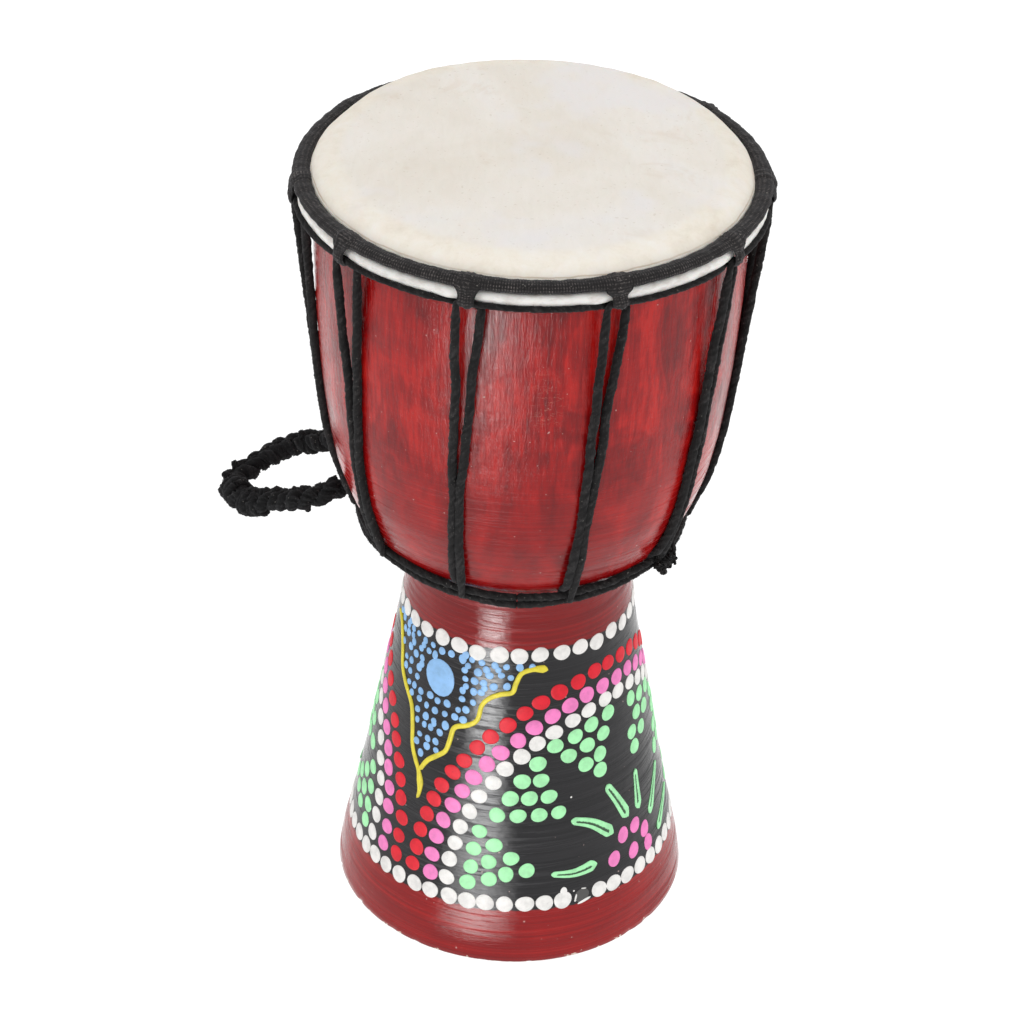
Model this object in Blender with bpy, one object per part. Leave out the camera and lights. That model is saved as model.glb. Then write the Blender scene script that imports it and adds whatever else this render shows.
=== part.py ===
"""A small goblet drum (djembe): turned wooden shell, goatskin head, rings, rope lacing and a
braided carry handle.

Run it with: blender --background --python part.py
Units are metres with +Z up. The origin is the centre of the foot, on the drum's axis.
Directions round the drum are angles in degrees: 0 faces -Y, and 90 faces +X.
"""

import math

import bmesh
import bpy
from mathutils import Matrix, Vector

MM = 0.001

# Driving dimensions, in millimetres.
GAP = 0.3                       # clearance between pieces that touch
SEGMENTS = 40                   # facets round every turned piece

FOOT_RADIUS = 66.3
FOOT_BORE = 53.0
NECK_RADIUS = 40.4
THROAT_RADIUS = 26.0
BOWL_RADIUS = 74.1
RIM_RADIUS = 73.4
RIM_Z = 302.4                   # top of the wooden bearing edge

SKIN_THICKNESS = 0.7
CORD_RADIUS = 1.3               # lacing and waist cord
RING_RADIUS = 78.2              # centreline of the flesh ring and of the crown ring
FLESH_ROD = 0.85
FLESH_Z = 291.3
CROWN_ROD = 1.4
CROWN_Z = 296.9
WRAP_RADIUS = 2.25              # outside of the cloth sleeve on the crown ring
STRAP_THICKNESS = 0.7
STRAP_WIDTH = 3.8

RUN_Z = 287.9                   # height of the lacing's level runs, just under the skin roll
RUN_INNER = 76.7                # radius of the pass that lies against the shell
RUN_OUTER = RUN_INNER + 2 * CORD_RADIUS + GAP
LEG_TOP = 3.75                  # half the distance between two legs at the top
LEG_FOOT = CORD_RADIUS + GAP / 2
CORNER = 2.3                    # radius of the bend from a level run into a leg

WAIST_RADIUS = 58.7
WAIST_UPPER_Z = 164.9
WAIST_LOWER_Z = WAIST_UPPER_Z - 2 * CORD_RADIUS - GAP
WAIST_MID_Z = (WAIST_UPPER_Z + WAIST_LOWER_Z) / 2

# Ten lacing stations, tied by eye and so not quite evenly spaced.
HITCH_ANGLES = (-14, 21, 57, 90, 130, 165, 202, 236, 278, 311)
FOOT_TURN = -4.6                # the lacing leans: each foot sits this far round from its hitch
KNOT_STATION = 2
KNOT_TURN = 7.0                 # the knot sits this far round from its station's foot

HANDLE_TIE_ANGLES = (-97, -118)
TIE_RADIUS = 63.5               # the knob of each handle tie, which is the handle's hinge line
TIE_KNOB = 3.2
HANDLE_RADIUS = 4.4
HANDLE_DROOP = -21.0            # the handle hangs this many degrees below level
# Route of the handle in its own plane: distance along the hinge line from the middle, towards
# the back of the drum, and distance out from the hinge line.
HANDLE_ROUTE = (
    (-11.6, 4.4), (-12.6, 8.0), (-15.5, 14.0), (-17.3, 24.0), (-15.8, 36.0), (-11.0, 46.0),
    (-2.5, 52.5), (7.5, 54.0), (16.0, 50.0), (21.8, 42.5), (24.3, 33.0), (23.4, 22.0),
    (18.6, 13.0), (13.2, 8.0), (11.6, 4.4),
)

# Outer outline of the shell, from the foot to the rim: radius and height.
SHELL_OUTSIDE = (
    (FOOT_RADIUS - 0.8, 0.0), (FOOT_RADIUS, 1.0), (64.5, 12.0), (61.4, 25.0), (56.3, 50.0),
    (50.7, 80.0), (45.0, 110.0), (41.5, 132.0), (NECK_RADIUS, 144.0), (42.2, 153.5),
    (46.6, 159.0), (51.2, 163.8), (54.9, 167.4), (58.6, 171.4), (62.2, 176.4), (64.8, 182.4),
    (67.2, 190.0), (69.9, 206.0), (71.9, 225.0), (73.4, 248.0), (BOWL_RADIUS, 270.0),
    (73.9, 284.0), (RIM_RADIUS, 289.2),
)
# Inner outline of the shell, from the rim down to the foot.
SHELL_INSIDE = (
    (66.0, 300.4), (64.4, 295.0), (63.8, 270.0), (62.2, 240.0), (58.6, 212.0), (52.0, 190.0),
    (42.0, 172.0), (31.0, 160.5), (THROAT_RADIUS, 150.0), (THROAT_RADIUS + 0.6, 138.0),
    (30.0, 118.0), (36.0, 90.0), (43.0, 52.0), (49.0, 20.0), (FOOT_BORE, 0.0),
)
BOWL_START = 12                 # index in SHELL_OUTSIDE where the bowl's convex side starts


def clear_scene():
    for item in list(bpy.data.objects):
        bpy.data.objects.remove(item, do_unlink=True)


def make_material(name, colour, roughness, metallic=0.0):
    material = bpy.data.materials.new(name)
    material.use_nodes = True
    shader = material.node_tree.nodes["Principled BSDF"]
    shader.inputs["Base Color"].default_value = (*colour, 1.0)
    shader.inputs["Roughness"].default_value = roughness
    shader.inputs["Metallic"].default_value = metallic
    material.diffuse_color = (*colour, 1.0)
    return material


def around(radius, angle, height):
    """The point at this radius, angle and height, from millimetres to metres."""
    turn = math.radians(angle)
    return Vector((radius * math.sin(turn), -radius * math.cos(turn), height)) * MM


def smooth(points, steps):
    """Points along a Catmull-Rom curve through the given points, `steps` to each span."""
    ends = [2 * points[0] - points[1], *points, 2 * points[-1] - points[-2]]
    curve = []
    for index in range(len(points) - 1):
        a, b, c, d = ends[index:index + 4]
        for step in range(steps):
            t = step / steps
            curve.append(
                b + (c - a) * (t / 2)
                + (2 * a - 5 * b + 4 * c - d) * (t * t / 2)
                + (3 * b - a - 3 * c + d) * (t ** 3 / 2)
            )
    return [*curve, points[-1]]


def arc(centre, radius, start, end, steps):
    """Points on an arc in the radius-height plane. Angles are in degrees, 0 pointing outwards."""
    points = []
    for step in range(steps + 1):
        turn = math.radians(start + (end - start) * step / steps)
        points.append((centre[0] + radius * math.cos(turn), centre[1] + radius * math.sin(turn)))
    return points


def normals(outline):
    """Unit vectors to the right of the direction of travel, at each point of an open outline."""
    last = len(outline) - 1
    result = []
    for index in range(len(outline)):
        before = Vector(outline[max(index - 1, 0)])
        after = Vector(outline[min(index + 1, last)])
        along = (after - before).normalized()
        result.append(Vector((along.y, -along.x)))
    return result


def thickened(centreline, thickness):
    """A closed outline: the centreline widened by half the thickness to each side."""
    half = thickness / 2
    sides = normals(centreline)
    right = [Vector(p) + n * half for p, n in zip(centreline, sides)]
    left = [Vector(p) - n * half for p, n in zip(centreline, sides)]
    return [tuple(p) for p in right] + [tuple(p) for p in reversed(left)]


def add_object(name, bm, material, sharp=35):
    bmesh.ops.recalc_face_normals(bm, faces=bm.faces)
    mesh = bpy.data.meshes.new(name)
    bm.to_mesh(mesh)
    bm.free()
    mesh.shade_smooth()
    mesh.set_sharp_from_angle(angle=math.radians(sharp))
    mesh.materials.append(material)
    item = bpy.data.objects.new(name, mesh)
    bpy.context.scene.collection.objects.link(item)
    return item


def add_turned(name, outline, material):
    """A solid turned from a closed outline of (radius, height), which may touch the axis."""
    bm = bmesh.new()
    rings = []
    for radius, height in outline:
        if radius < GAP:
            rings.append([bm.verts.new((0, 0, height * MM))])
            continue
        step = 360 / SEGMENTS
        rings.append([bm.verts.new(around(radius, step * i, height)) for i in range(SEGMENTS)])
    for first, second in zip(rings, rings[1:] + rings[:1]):
        if len(first) == 1 and len(second) == 1:
            continue
        for i in range(SEGMENTS):
            j = (i + 1) % SEGMENTS
            corners = [first[i % len(first)], first[j % len(first)]]
            corners += [second[j % len(second)], second[i % len(second)]]
            bm.faces.new(list(dict.fromkeys(corners)))
    return add_object(name, bm, material)


def add_cord(name, points, radius, material, closed=False, resolution=1):
    """A round cord: a bevelled curve with filled ends. The radius is in millimetres."""
    data = bpy.data.curves.new(name, "CURVE")
    data.dimensions = "3D"
    data.bevel_depth = radius * MM
    data.bevel_resolution = resolution
    data.use_fill_caps = True
    spline = data.splines.new("POLY")
    spline.points.add(len(points) - 1)
    for slot, point in zip(spline.points, points):
        slot.co = (*point, 1.0)
    spline.use_cyclic_u = closed
    spline.use_smooth = True
    data.materials.append(material)
    item = bpy.data.objects.new(name, data)
    bpy.context.scene.collection.objects.link(item)
    return item


def add_hoop(name, radius, height, rod, material):
    step = 360 / SEGMENTS
    points = [around(radius, step * i, height) for i in range(SEGMENTS)]
    return add_cord(name, points, rod, material, closed=True)


def add_plate(name, outer, inner, width, angle, material):
    """A plate cut from the radius-height plane at this angle, as thick as `width`.

    `outer` is its outline, and `inner`, of the same length, is the outline of its hole.
    """
    bm = bmesh.new()
    layers = []
    for side in (-width / 2, width / 2):
        for outline in (outer, inner):
            layers.append([bm.verts.new(Vector((side, -r, z)) * MM) for r, z in outline])
    outer_left, inner_left, outer_right, inner_right = layers
    count = len(outer)
    for i in range(count):
        j = (i + 1) % count
        bm.faces.new((outer_left[i], outer_left[j], inner_left[j], inner_left[i]))
        bm.faces.new((outer_right[i], outer_right[j], inner_right[j], inner_right[i]))
        bm.faces.new((outer_left[i], outer_left[j], outer_right[j], outer_right[i]))
        bm.faces.new((inner_left[i], inner_left[j], inner_right[j], inner_right[i]))
    item = add_object(name, bm, material)
    item.rotation_euler.z = math.radians(angle)
    return item


def build_shell(material):
    """The goblet: a foot that flares down from a narrow neck, and a bowl with a round rim."""
    bearing_edge = [(RIM_RADIUS, 297.2), (73.2, 299.2), (72.4, 300.8), (70.8, 302.0), (68.4, RIM_Z)]
    add_turned("shell", [*SHELL_OUTSIDE, *bearing_edge, *SHELL_INSIDE], material)


def build_head(material):
    """The skin: flat top, side wall, and the roll that is folded round the flesh ring."""
    wall = RIM_RADIUS + GAP + SKIN_THICKNESS / 2
    top = RIM_Z + GAP + SKIN_THICKNESS / 2
    fold = FLESH_ROD + GAP + SKIN_THICKNESS / 2
    centreline = [
        (0.0, top), (40.0, top), (68.5, top), (71.3, top - 0.45), (73.1, top - 1.8),
        (wall - 0.1, top - 3.7), (wall, top - 6.0), (wall, 291.6), (wall + 0.7, 290.2),
        (wall + 2.1, FLESH_Z - fold),
    ]
    centreline += arc((RING_RADIUS, FLESH_Z), fold, -90, 170, 9)
    add_turned("drum_head", thickened(centreline, SKIN_THICKNESS), material)


def build_crown_wrap(material):
    """The cloth sleeve on the crown ring, open along a seam that faces the drum."""
    inside = CROWN_ROD + GAP
    middle = (inside + WRAP_RADIUS) / 2
    centreline = arc((RING_RADIUS, CROWN_Z), middle, -140, 140, 8)
    add_turned("crown_ring_wrap", thickened(centreline, WRAP_RADIUS - inside), material)


def build_cradle_loop(name, angle, material):
    """A strap that hooks over the crown ring and carries the lacing's two level passes."""
    back = RUN_INNER - CORD_RADIUS - GAP - STRAP_THICKNESS / 2
    below = RUN_Z - CORD_RADIUS - GAP - STRAP_THICKNESS / 2
    front = RUN_OUTER + CORD_RADIUS + GAP + STRAP_THICKNESS / 2
    over = WRAP_RADIUS + GAP + STRAP_THICKNESS / 2 + 0.1
    centreline = [
        (back, below + 3.0), (back, below + 1.0), (back + 1.0, below), (front - 1.2, below),
        (front, below + 1.2), (front, CROWN_Z - 3.4),
    ]
    centreline += arc((RING_RADIUS, CROWN_Z), over, 0, 258, 7)
    outline = thickened(centreline, STRAP_THICKNESS)
    bm = bmesh.new()
    sides = []
    for offset in (-STRAP_WIDTH / 2, STRAP_WIDTH / 2):
        sides.append([bm.verts.new(Vector((offset, -r, z)) * MM) for r, z in outline])
    left, right = sides
    last = len(outline) - 1
    for i in range(last + 1):
        j = (i + 1) % (last + 1)
        bm.faces.new((left[i], left[j], right[j], right[i]))
    # Each flank is a row of quads from one face of the strap to the other.
    for side in sides:
        for i in range(len(centreline) - 1):
            bm.faces.new((side[i], side[i + 1], side[last - i - 1], side[last - i]))
    item = add_object(name, bm, material)
    item.rotation_euler.z = math.radians(angle)


def taut(points):
    """The part of the points that a tight cord touches: their outer hull, from top to bottom."""
    hull = []
    for point in points:
        while len(hull) > 1:
            (r0, z0), (r1, z1) = hull[-2:]
            if (r1 - r0) * (point[1] - z0) < (point[0] - r0) * (z1 - z0):
                break
            hull.pop()
        hull.append(point)
    return hull


def radius_at(line, height):
    for (r0, z0), (r1, z1) in zip(line, line[1:]):
        if z1 <= height <= z0:
            return r0 + (r1 - r0) * (z0 - height) / (z0 - z1)
    return line[-1][0]


def bowl_line(top_radius, bottom):
    """How far out a leg lies at each height: tight over the bowl, from the run to `bottom`."""
    clear = CORD_RADIUS + GAP
    bowl = SHELL_OUTSIDE[BOWL_START:]
    surface = [Vector(p) + n * clear for p, n in zip(bowl, normals(bowl))]
    top = RUN_Z - CORNER
    touching = [tuple(p) for p in reversed(surface) if p.y < top - 2 * CORNER]
    return taut([(top_radius, top), *touching, bottom])


LEG_HEIGHTS = (285.0, 262.0, 238.0, 214.0, 197.0, 185.0, 176.5, 170.3)


def leg(station, side, top_radius, bottom):
    """Points down one leg of a station's pair. Side is -1 for the left leg, 1 for the right."""
    line = bowl_line(top_radius, bottom)
    hitch = HITCH_ANGLES[station]
    points = []
    for height in (*LEG_HEIGHTS, bottom[1]):
        radius = radius_at(line, height)
        down = (LEG_HEIGHTS[0] - height) / (LEG_HEIGHTS[0] - bottom[1])
        apart = LEG_TOP + (LEG_FOOT - LEG_TOP) * down
        turn = math.degrees(side * apart / radius)
        points.append(around(radius, hitch + FOOT_TURN * down + turn, height))
    return points


def corner(station, side, radius):
    """Points round the bend between a leg and the level pass at this radius, leg end first."""
    points = []
    for degrees in (20, 50, 90):
        turn = math.radians(degrees)
        across = side * (LEG_TOP - CORNER * (1 - math.cos(turn)))
        height = RUN_Z - CORNER + CORNER * math.sin(turn)
        angle = HITCH_ANGLES[station] + math.degrees(across / radius)
        points.append(around(radius, angle, height))
    return points


# Where the legs pass the waist cords: the right leg in front, and the left leg behind.
FRONT_BOTTOM = (WAIST_RADIUS + 2 * CORD_RADIUS + GAP, WAIST_UPPER_Z)
BACK_BOTTOM = (WAIST_RADIUS - 2 * CORD_RADIUS - GAP + 0.1, WAIST_UPPER_Z + 1.4)


def foot_turn(station):
    """Points that carry the right leg under the waist cords and up behind them."""
    reach = 2 * CORD_RADIUS + GAP
    route = arc((WAIST_RADIUS, WAIST_LOWER_Z), reach, 0, -180, 5)
    points = []
    for index, (radius, height) in enumerate(route):
        across = LEG_FOOT * (1 - 2 * index / (len(route) - 1))
        angle = HITCH_ANGLES[station] + FOOT_TURN + math.degrees(across / radius)
        points.append(around(radius, angle, height))
    return points


def level_run(station):
    """Points of the run from one hitch to the next, moving in from the outer to the inner pass."""
    here = HITCH_ANGLES[station]
    following = HITCH_ANGLES[(station + 1) % len(HITCH_ANGLES)]
    span = (following - here) % 360
    points = []
    for share, inward in ((0.2, 0.0), (0.4, 0.4), (0.6, 0.8), (0.8, 1.0)):
        radius = RUN_OUTER + (RUN_INNER - RUN_OUTER) * inward
        points.append(around(radius, here + span * share, RUN_Z))
    return points


def build_lacing(material):
    """One rope. It starts and ends at the knot, and at each station it goes down and back up."""
    knot_foot = HITCH_ANGLES[KNOT_STATION] + FOOT_TURN
    tucked = [around(BACK_BOTTOM[0], knot_foot + turn, WAIST_MID_Z) for turn in (2.6, 0.6)]
    points = tucked + leg(KNOT_STATION, -1, RUN_OUTER, BACK_BOTTOM)[::-1]
    points += corner(KNOT_STATION, -1, RUN_OUTER)
    points += level_run(KNOT_STATION)
    count = len(HITCH_ANGLES)
    for step in range(1, count):
        station = (KNOT_STATION + step) % count
        points += corner(station, 1, RUN_INNER)[::-1]
        points += leg(station, 1, RUN_INNER, FRONT_BOTTOM)
        points += foot_turn(station)
        points += leg(station, -1, RUN_OUTER, BACK_BOTTOM)[::-1]
        points += corner(station, -1, RUN_OUTER)
        points += level_run(station)
    points += corner(KNOT_STATION, 1, RUN_INNER)[::-1]
    points += leg(KNOT_STATION, 1, RUN_INNER, FRONT_BOTTOM)
    points.append(around(FRONT_BOTTOM[0], knot_foot + 2.6, WAIST_MID_Z))
    add_cord("lacing", points, CORD_RADIUS, material)


def stadium(half_length, radius, degrees):
    """Distance from the centre of an upright stadium to its edge, in this direction."""
    turn = math.radians(degrees)
    across = abs(math.cos(turn))
    if across > 1e-6 and abs(math.sin(turn)) * radius / across <= half_length:
        return radius / across
    return half_length * abs(math.sin(turn)) + math.sqrt(radius ** 2 - (half_length * across) ** 2)


def build_waist_tie(name, angle, knob, width, material):
    """A band round both waist cords, with a round knob on its outer side."""
    half = (WAIST_UPPER_Z - WAIST_LOWER_Z) / 2
    inside = CORD_RADIUS + GAP
    outside = inside + 1.0
    reach = TIE_RADIUS - WAIST_RADIUS
    inner = []
    outer = []
    for degrees in range(0, 360, 15):
        turn = math.radians(degrees)
        far = stadium(half, outside, degrees)
        chord = knob ** 2 - (reach * math.sin(turn)) ** 2
        if math.cos(turn) > 0 and chord > 0:
            far = max(far, reach * math.cos(turn) + math.sqrt(chord))
        for outline, distance in ((outer, far), (inner, stadium(half, inside, degrees))):
            outline.append((
                WAIST_RADIUS + distance * math.cos(turn),
                WAIST_MID_Z + distance * math.sin(turn),
            ))
    add_plate(name, outer, inner, width, angle, material)


def build_handle(material):
    """The braided loop, on an empty whose X axis is the hinge line through the two ties."""
    front, back = (around(TIE_RADIUS, angle, WAIST_MID_Z) for angle in HANDLE_TIE_ANGLES)
    along = (back - front).normalized()
    level = Vector((0, 0, 1)).cross(along)
    out = Matrix.Rotation(math.radians(HANDLE_DROOP), 3, along) @ level
    hinge = bpy.data.objects.new("handle_hinge", None)
    bpy.context.scene.collection.objects.link(hinge)
    axes = Matrix((along, out, along.cross(out))).transposed()
    hinge.matrix_world = Matrix.Translation((front + back) / 2) @ axes.to_4x4()
    route = [Vector((x, y, 0)) * MM for x, y in HANDLE_ROUTE]
    handle = add_cord("carry_handle", smooth(route, 2), HANDLE_RADIUS, material, resolution=2)
    handle.parent = hinge


def main():
    clear_scene()
    wood = make_material("red_lacquered_wood", (0.34, 0.02, 0.02), 0.25)
    skin = make_material("goatskin", (0.80, 0.74, 0.62), 0.6)
    steel = make_material("ring_steel", (0.55, 0.55, 0.56), 0.35, 1.0)
    cloth = make_material("black_woven_cloth", (0.02, 0.02, 0.022), 0.85)
    rope = make_material("black_rope", (0.015, 0.015, 0.017), 0.9)

    build_shell(wood)
    build_head(skin)
    add_hoop("flesh_ring", RING_RADIUS, FLESH_Z, FLESH_ROD, steel)
    add_hoop("crown_ring", RING_RADIUS, CROWN_Z, CROWN_ROD, steel)
    build_crown_wrap(cloth)
    for number, angle in enumerate(HITCH_ANGLES, start=1):
        build_cradle_loop(f"cradle_loop_{number:02d}", angle, cloth)
    add_hoop("waist_cord_upper", WAIST_RADIUS, WAIST_UPPER_Z, CORD_RADIUS, rope)
    add_hoop("waist_cord_lower", WAIST_RADIUS, WAIST_LOWER_Z, CORD_RADIUS, rope)
    build_lacing(rope)
    knot_angle = HITCH_ANGLES[KNOT_STATION] + FOOT_TURN + KNOT_TURN
    build_waist_tie("lacing_end_knot", knot_angle, 4.0, 7.0, rope)
    for name, angle in zip(("handle_tie_front", "handle_tie_back"), HANDLE_TIE_ANGLES):
        build_waist_tie(name, angle, TIE_KNOB, 4.6, rope)
    build_handle(rope)


main()
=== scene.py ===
"""Looks of a small goblet drum (djembe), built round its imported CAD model.

Units are metres with +Z up, and the origin is the centre of the foot. Directions round the drum
are angles in degrees: 0 faces -Y, and 90 faces +X. The builders work in millimetres, and MM
turns them into metres.
"""

import math
import random

import bpy
import numpy as np
from mathutils import Matrix, Vector


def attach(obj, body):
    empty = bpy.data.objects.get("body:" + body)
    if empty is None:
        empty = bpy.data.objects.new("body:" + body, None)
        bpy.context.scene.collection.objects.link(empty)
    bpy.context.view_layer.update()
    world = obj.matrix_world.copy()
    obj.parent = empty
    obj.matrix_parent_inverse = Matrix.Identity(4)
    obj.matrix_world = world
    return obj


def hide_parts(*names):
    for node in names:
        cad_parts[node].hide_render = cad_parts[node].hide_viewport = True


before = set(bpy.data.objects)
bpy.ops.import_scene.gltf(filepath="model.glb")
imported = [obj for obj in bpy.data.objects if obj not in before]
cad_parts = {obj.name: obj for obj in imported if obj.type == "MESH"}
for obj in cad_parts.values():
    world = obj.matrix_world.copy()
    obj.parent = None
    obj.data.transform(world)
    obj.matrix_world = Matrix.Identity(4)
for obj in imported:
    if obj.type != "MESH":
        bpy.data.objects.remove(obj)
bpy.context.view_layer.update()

MM = 0.001
RIPPLE_WAVES = 4                # waves that a ripple adds up
TAU = 2 * math.pi


def new_object(name, data):
    """A new object in the scene that holds this mesh, camera or light."""
    item = bpy.data.objects.new(name, data)
    bpy.context.scene.collection.objects.link(item)
    return item


# ---------------------------------------------------------------------------------------------
# Camera
# ---------------------------------------------------------------------------------------------

CAMERA_PLACE = (0.0, -0.92574, 0.78289)
CAMERA_YAW = -0.0035            # radians
CAMERA_PITCH = 0.5936           # radians below the horizon
CAMERA_ROLL = 0.0334            # radians
CAMERA_LENS = 108.36            # millimetres, on a 36 mm sensor


def build_camera():
    data = bpy.data.cameras.new("camera")
    data.lens = CAMERA_LENS
    data.sensor_width = 36.0
    data.clip_start = 0.01
    data.clip_end = 60.0
    item = new_object("camera", data)
    level = math.cos(CAMERA_PITCH)
    forward = Vector((
        math.sin(CAMERA_YAW) * level, math.cos(CAMERA_YAW) * level, -math.sin(CAMERA_PITCH),
    ))
    right = forward.cross(Vector((0, 0, 1))).normalized()
    up = right.cross(forward)
    across = right * math.cos(CAMERA_ROLL) + up * math.sin(CAMERA_ROLL)
    upright = up * math.cos(CAMERA_ROLL) - right * math.sin(CAMERA_ROLL)
    axes = Matrix((across, upright, -forward)).transposed()
    item.matrix_world = Matrix.Translation(CAMERA_PLACE) @ axes.to_4x4()
    bpy.context.scene.camera = item


# ---------------------------------------------------------------------------------------------
# Points, paths and surfaces
# ---------------------------------------------------------------------------------------------


def around(radius, angle, height):
    """Points at these radii, angles and heights. Any of the three may be an array."""
    radius, angle, height = np.broadcast_arrays(
        np.asarray(radius, float), np.radians(angle), np.asarray(height, float)
    )
    return np.stack([radius * np.sin(angle), -radius * np.cos(angle), height], -1)


def smooth(points, steps):
    """Points along a Catmull-Rom curve through the given points, `steps` to each span."""
    points = np.asarray(points, float)
    ends = np.concatenate([[2 * points[0] - points[1]], points, [2 * points[-1] - points[-2]]])
    a, b, c, d = (ends[i:len(ends) - 3 + i][:, None] for i in range(4))
    t = (np.arange(steps) / steps)[None, :, None]
    curve = (
        b + (c - a) * (t / 2)
        + (2 * a - 5 * b + 4 * c - d) * (t * t / 2)
        + (3 * b - a - 3 * c + d) * (t ** 3 / 2)
    ).reshape(-1, points.shape[1])
    return np.concatenate([curve, points[-1:]])


def lengths(path, closed=False):
    """How far along the path each point is, and for a closed one the whole length last."""
    ends = np.concatenate([path, path[:1]]) if closed else path
    return np.concatenate([[0.0], np.cumsum(np.linalg.norm(np.diff(ends, axis=0), axis=1))])


def spaced(path, step, closed=False):
    """The same path with its points an even distance apart, about `step`."""
    along = lengths(path, closed)
    ends = np.concatenate([path, path[:1]]) if closed else path
    count = max(2, int(round(along[-1] / step)) + (0 if closed else 1))
    wanted = np.linspace(0, along[-1], count, endpoint=not closed)
    return np.stack([np.interp(wanted, along, ends[:, k]) for k in range(path.shape[1])], -1)


def climb(value, start, span):
    """0 up to the start, and 1 from a span beyond it. The span may be negative."""
    return np.clip((value - start) / span, 0, 1)


def gap_round(angles, others):
    """How far each angle is from the nearest of the others, the short way round, in degrees."""
    gaps = [np.abs((angles - other + 180) % 360 - 180) for other in others]
    return np.min(gaps, axis=0)


def unit(vectors):
    """The vectors, each scaled to a length of 1."""
    return vectors / np.maximum(np.linalg.norm(vectors, axis=-1, keepdims=True), 1e-12)


def frames(path, closed=False, first=(0.0, 0.0, 1.0)):
    """The path's direction at each point, and two vectors across it that turn as little as can be."""
    if closed:
        along = unit(np.roll(path, -1, axis=0) - np.roll(path, 1, axis=0))
    else:
        along = unit(np.gradient(path, axis=0))
    side = np.empty_like(path)
    here = np.asarray(first, float)
    for i, way in enumerate(along):
        here = here - way * here.dot(way)
        here = here / math.sqrt(here.dot(here))
        side[i] = here
    if closed:
        last = here - along[0] * here.dot(along[0])
        last = last / math.sqrt(last.dot(last))
        miss = math.atan2(np.cross(side[0], last).dot(along[0]), side[0].dot(last))
        turn = (-miss * np.arange(len(path)) / len(path))[:, None]
        side = side * np.cos(turn) + np.cross(along, side) * np.sin(turn)
    return along, side, np.cross(along, side)


def ripple(distance, period, seed, whole=0.0):
    """A smooth random wave of about that period and about unit size, the same on each run.

    For a ring, `whole` is the distance round it, and the wave meets itself there.
    """
    source = random.Random(seed)
    total = np.zeros_like(distance, dtype=float)
    for _ in range(RIPPLE_WAVES):
        wave = TAU / (period * source.uniform(0.6, 1.7))
        if whole:
            wave = TAU / whole * max(1, round(wave * whole / TAU))
        total += np.sin(distance * wave + source.uniform(0, TAU))
    return total / math.sqrt(RIPPLE_WAVES)


def grid_faces(rows, columns, closed_rows=False):
    """Quads of a grid of points. They face outwards when the columns turn from side to other."""
    i = np.arange(rows if closed_rows else rows - 1)[:, None]
    j = np.arange(columns)[None, :]
    i_next = (i + 1) % rows
    j_next = (j + 1) % columns
    corners = [i * columns + j, i * columns + j_next, i_next * columns + j_next, i_next * columns + j]
    return np.stack(np.broadcast_arrays(*corners), -1).reshape(-1, 4)


class Shape:
    """Closed surfaces that become one mesh, with a shade from 0 to 1 at each point."""

    def __init__(self):
        self.points = []
        self.shades = []
        self.faces = []
        self.count = 0

    def add(self, points, face_sets, shade):
        points = np.asarray(points, float).reshape(-1, 3)
        self.points.append(points)
        self.shades.append(np.broadcast_to(np.asarray(shade, float).ravel(), (len(points),)))
        for faces in face_sets:
            self.faces += (np.asarray(faces) + self.count).tolist()
        self.count += len(points)

    def tube(self, rings, shade, closed=False):
        """rings is an array of rings by sides by 3. An open tube gets a cap on each end."""
        rows, sides = rings.shape[:2]
        faces = [grid_faces(rows, sides, closed)]
        points = rings.reshape(-1, 3)
        shade = np.broadcast_to(shade, (rows, sides)).ravel()
        if not closed:
            hubs = np.stack([rings[0].mean(0), rings[-1].mean(0)])
            points = np.concatenate([points, hubs])
            shade = np.concatenate([shade, [shade[0], shade[-1]]])
            hub = rows * sides
            j = np.arange(sides)
            j_next = (j + 1) % sides
            last = (rows - 1) * sides
            faces.append(np.stack([np.full(sides, hub), j_next, j], -1))
            faces.append(np.stack([np.full(sides, hub + 1), last + j, last + j_next], -1))
        self.add(points, faces, shade)

    def hairs(self, roots, ways, reach, width, seed):
        """Stray fibres: thin closed spikes, each with a bend in it."""
        source = np.random.default_rng(seed)
        count = len(roots)
        ways = unit(ways + source.normal(0, 0.45, (count, 3)))
        bend = source.normal(0, 0.35, (count, 3))
        long = reach * source.uniform(0.35, 1.0, (count, 1))
        side = unit(np.cross(ways, source.normal(0, 1, (count, 3))))
        other = np.cross(ways, side)
        turns = np.arange(3) * TAU / 3
        circle = side[:, None] * np.cos(turns)[:, None] + other[:, None] * np.sin(turns)[:, None]
        middle = roots + long * (0.55 * ways + 0.25 * bend)
        tip = roots + long * (ways + bend)
        points = np.concatenate([
            (roots - ways * 0.15)[:, None] + circle * width,
            middle[:, None] + circle * width * 0.7,
            tip[:, None],
        ], axis=1)
        start = (np.arange(count) * 7)[:, None, None]
        quads = np.array([[0, 1, 4, 3], [1, 2, 5, 4], [2, 0, 3, 5]])[None] + start
        triangles = np.array([[2, 1, 0], [3, 4, 6], [4, 5, 6], [5, 3, 6]])[None] + start
        self.add(points, [quads.reshape(-1, 4), triangles.reshape(-1, 3)], 0.75)

    def finish(self, name, material, slot, replaces=(), body="drum"):
        mesh = bpy.data.meshes.new(name)
        mesh.from_pydata((np.concatenate(self.points) * MM).tolist(), [], self.faces)
        mesh.shade_smooth()
        mesh.materials.append(material)
        shade = mesh.attributes.new("shade", "FLOAT", "POINT")
        shade.data.foreach_set("value", np.concatenate(self.shades).astype(np.float32))
        item = new_object(name, mesh)
        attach(item, body)
        if replaces:
            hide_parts(*replaces)
        return item


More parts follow.
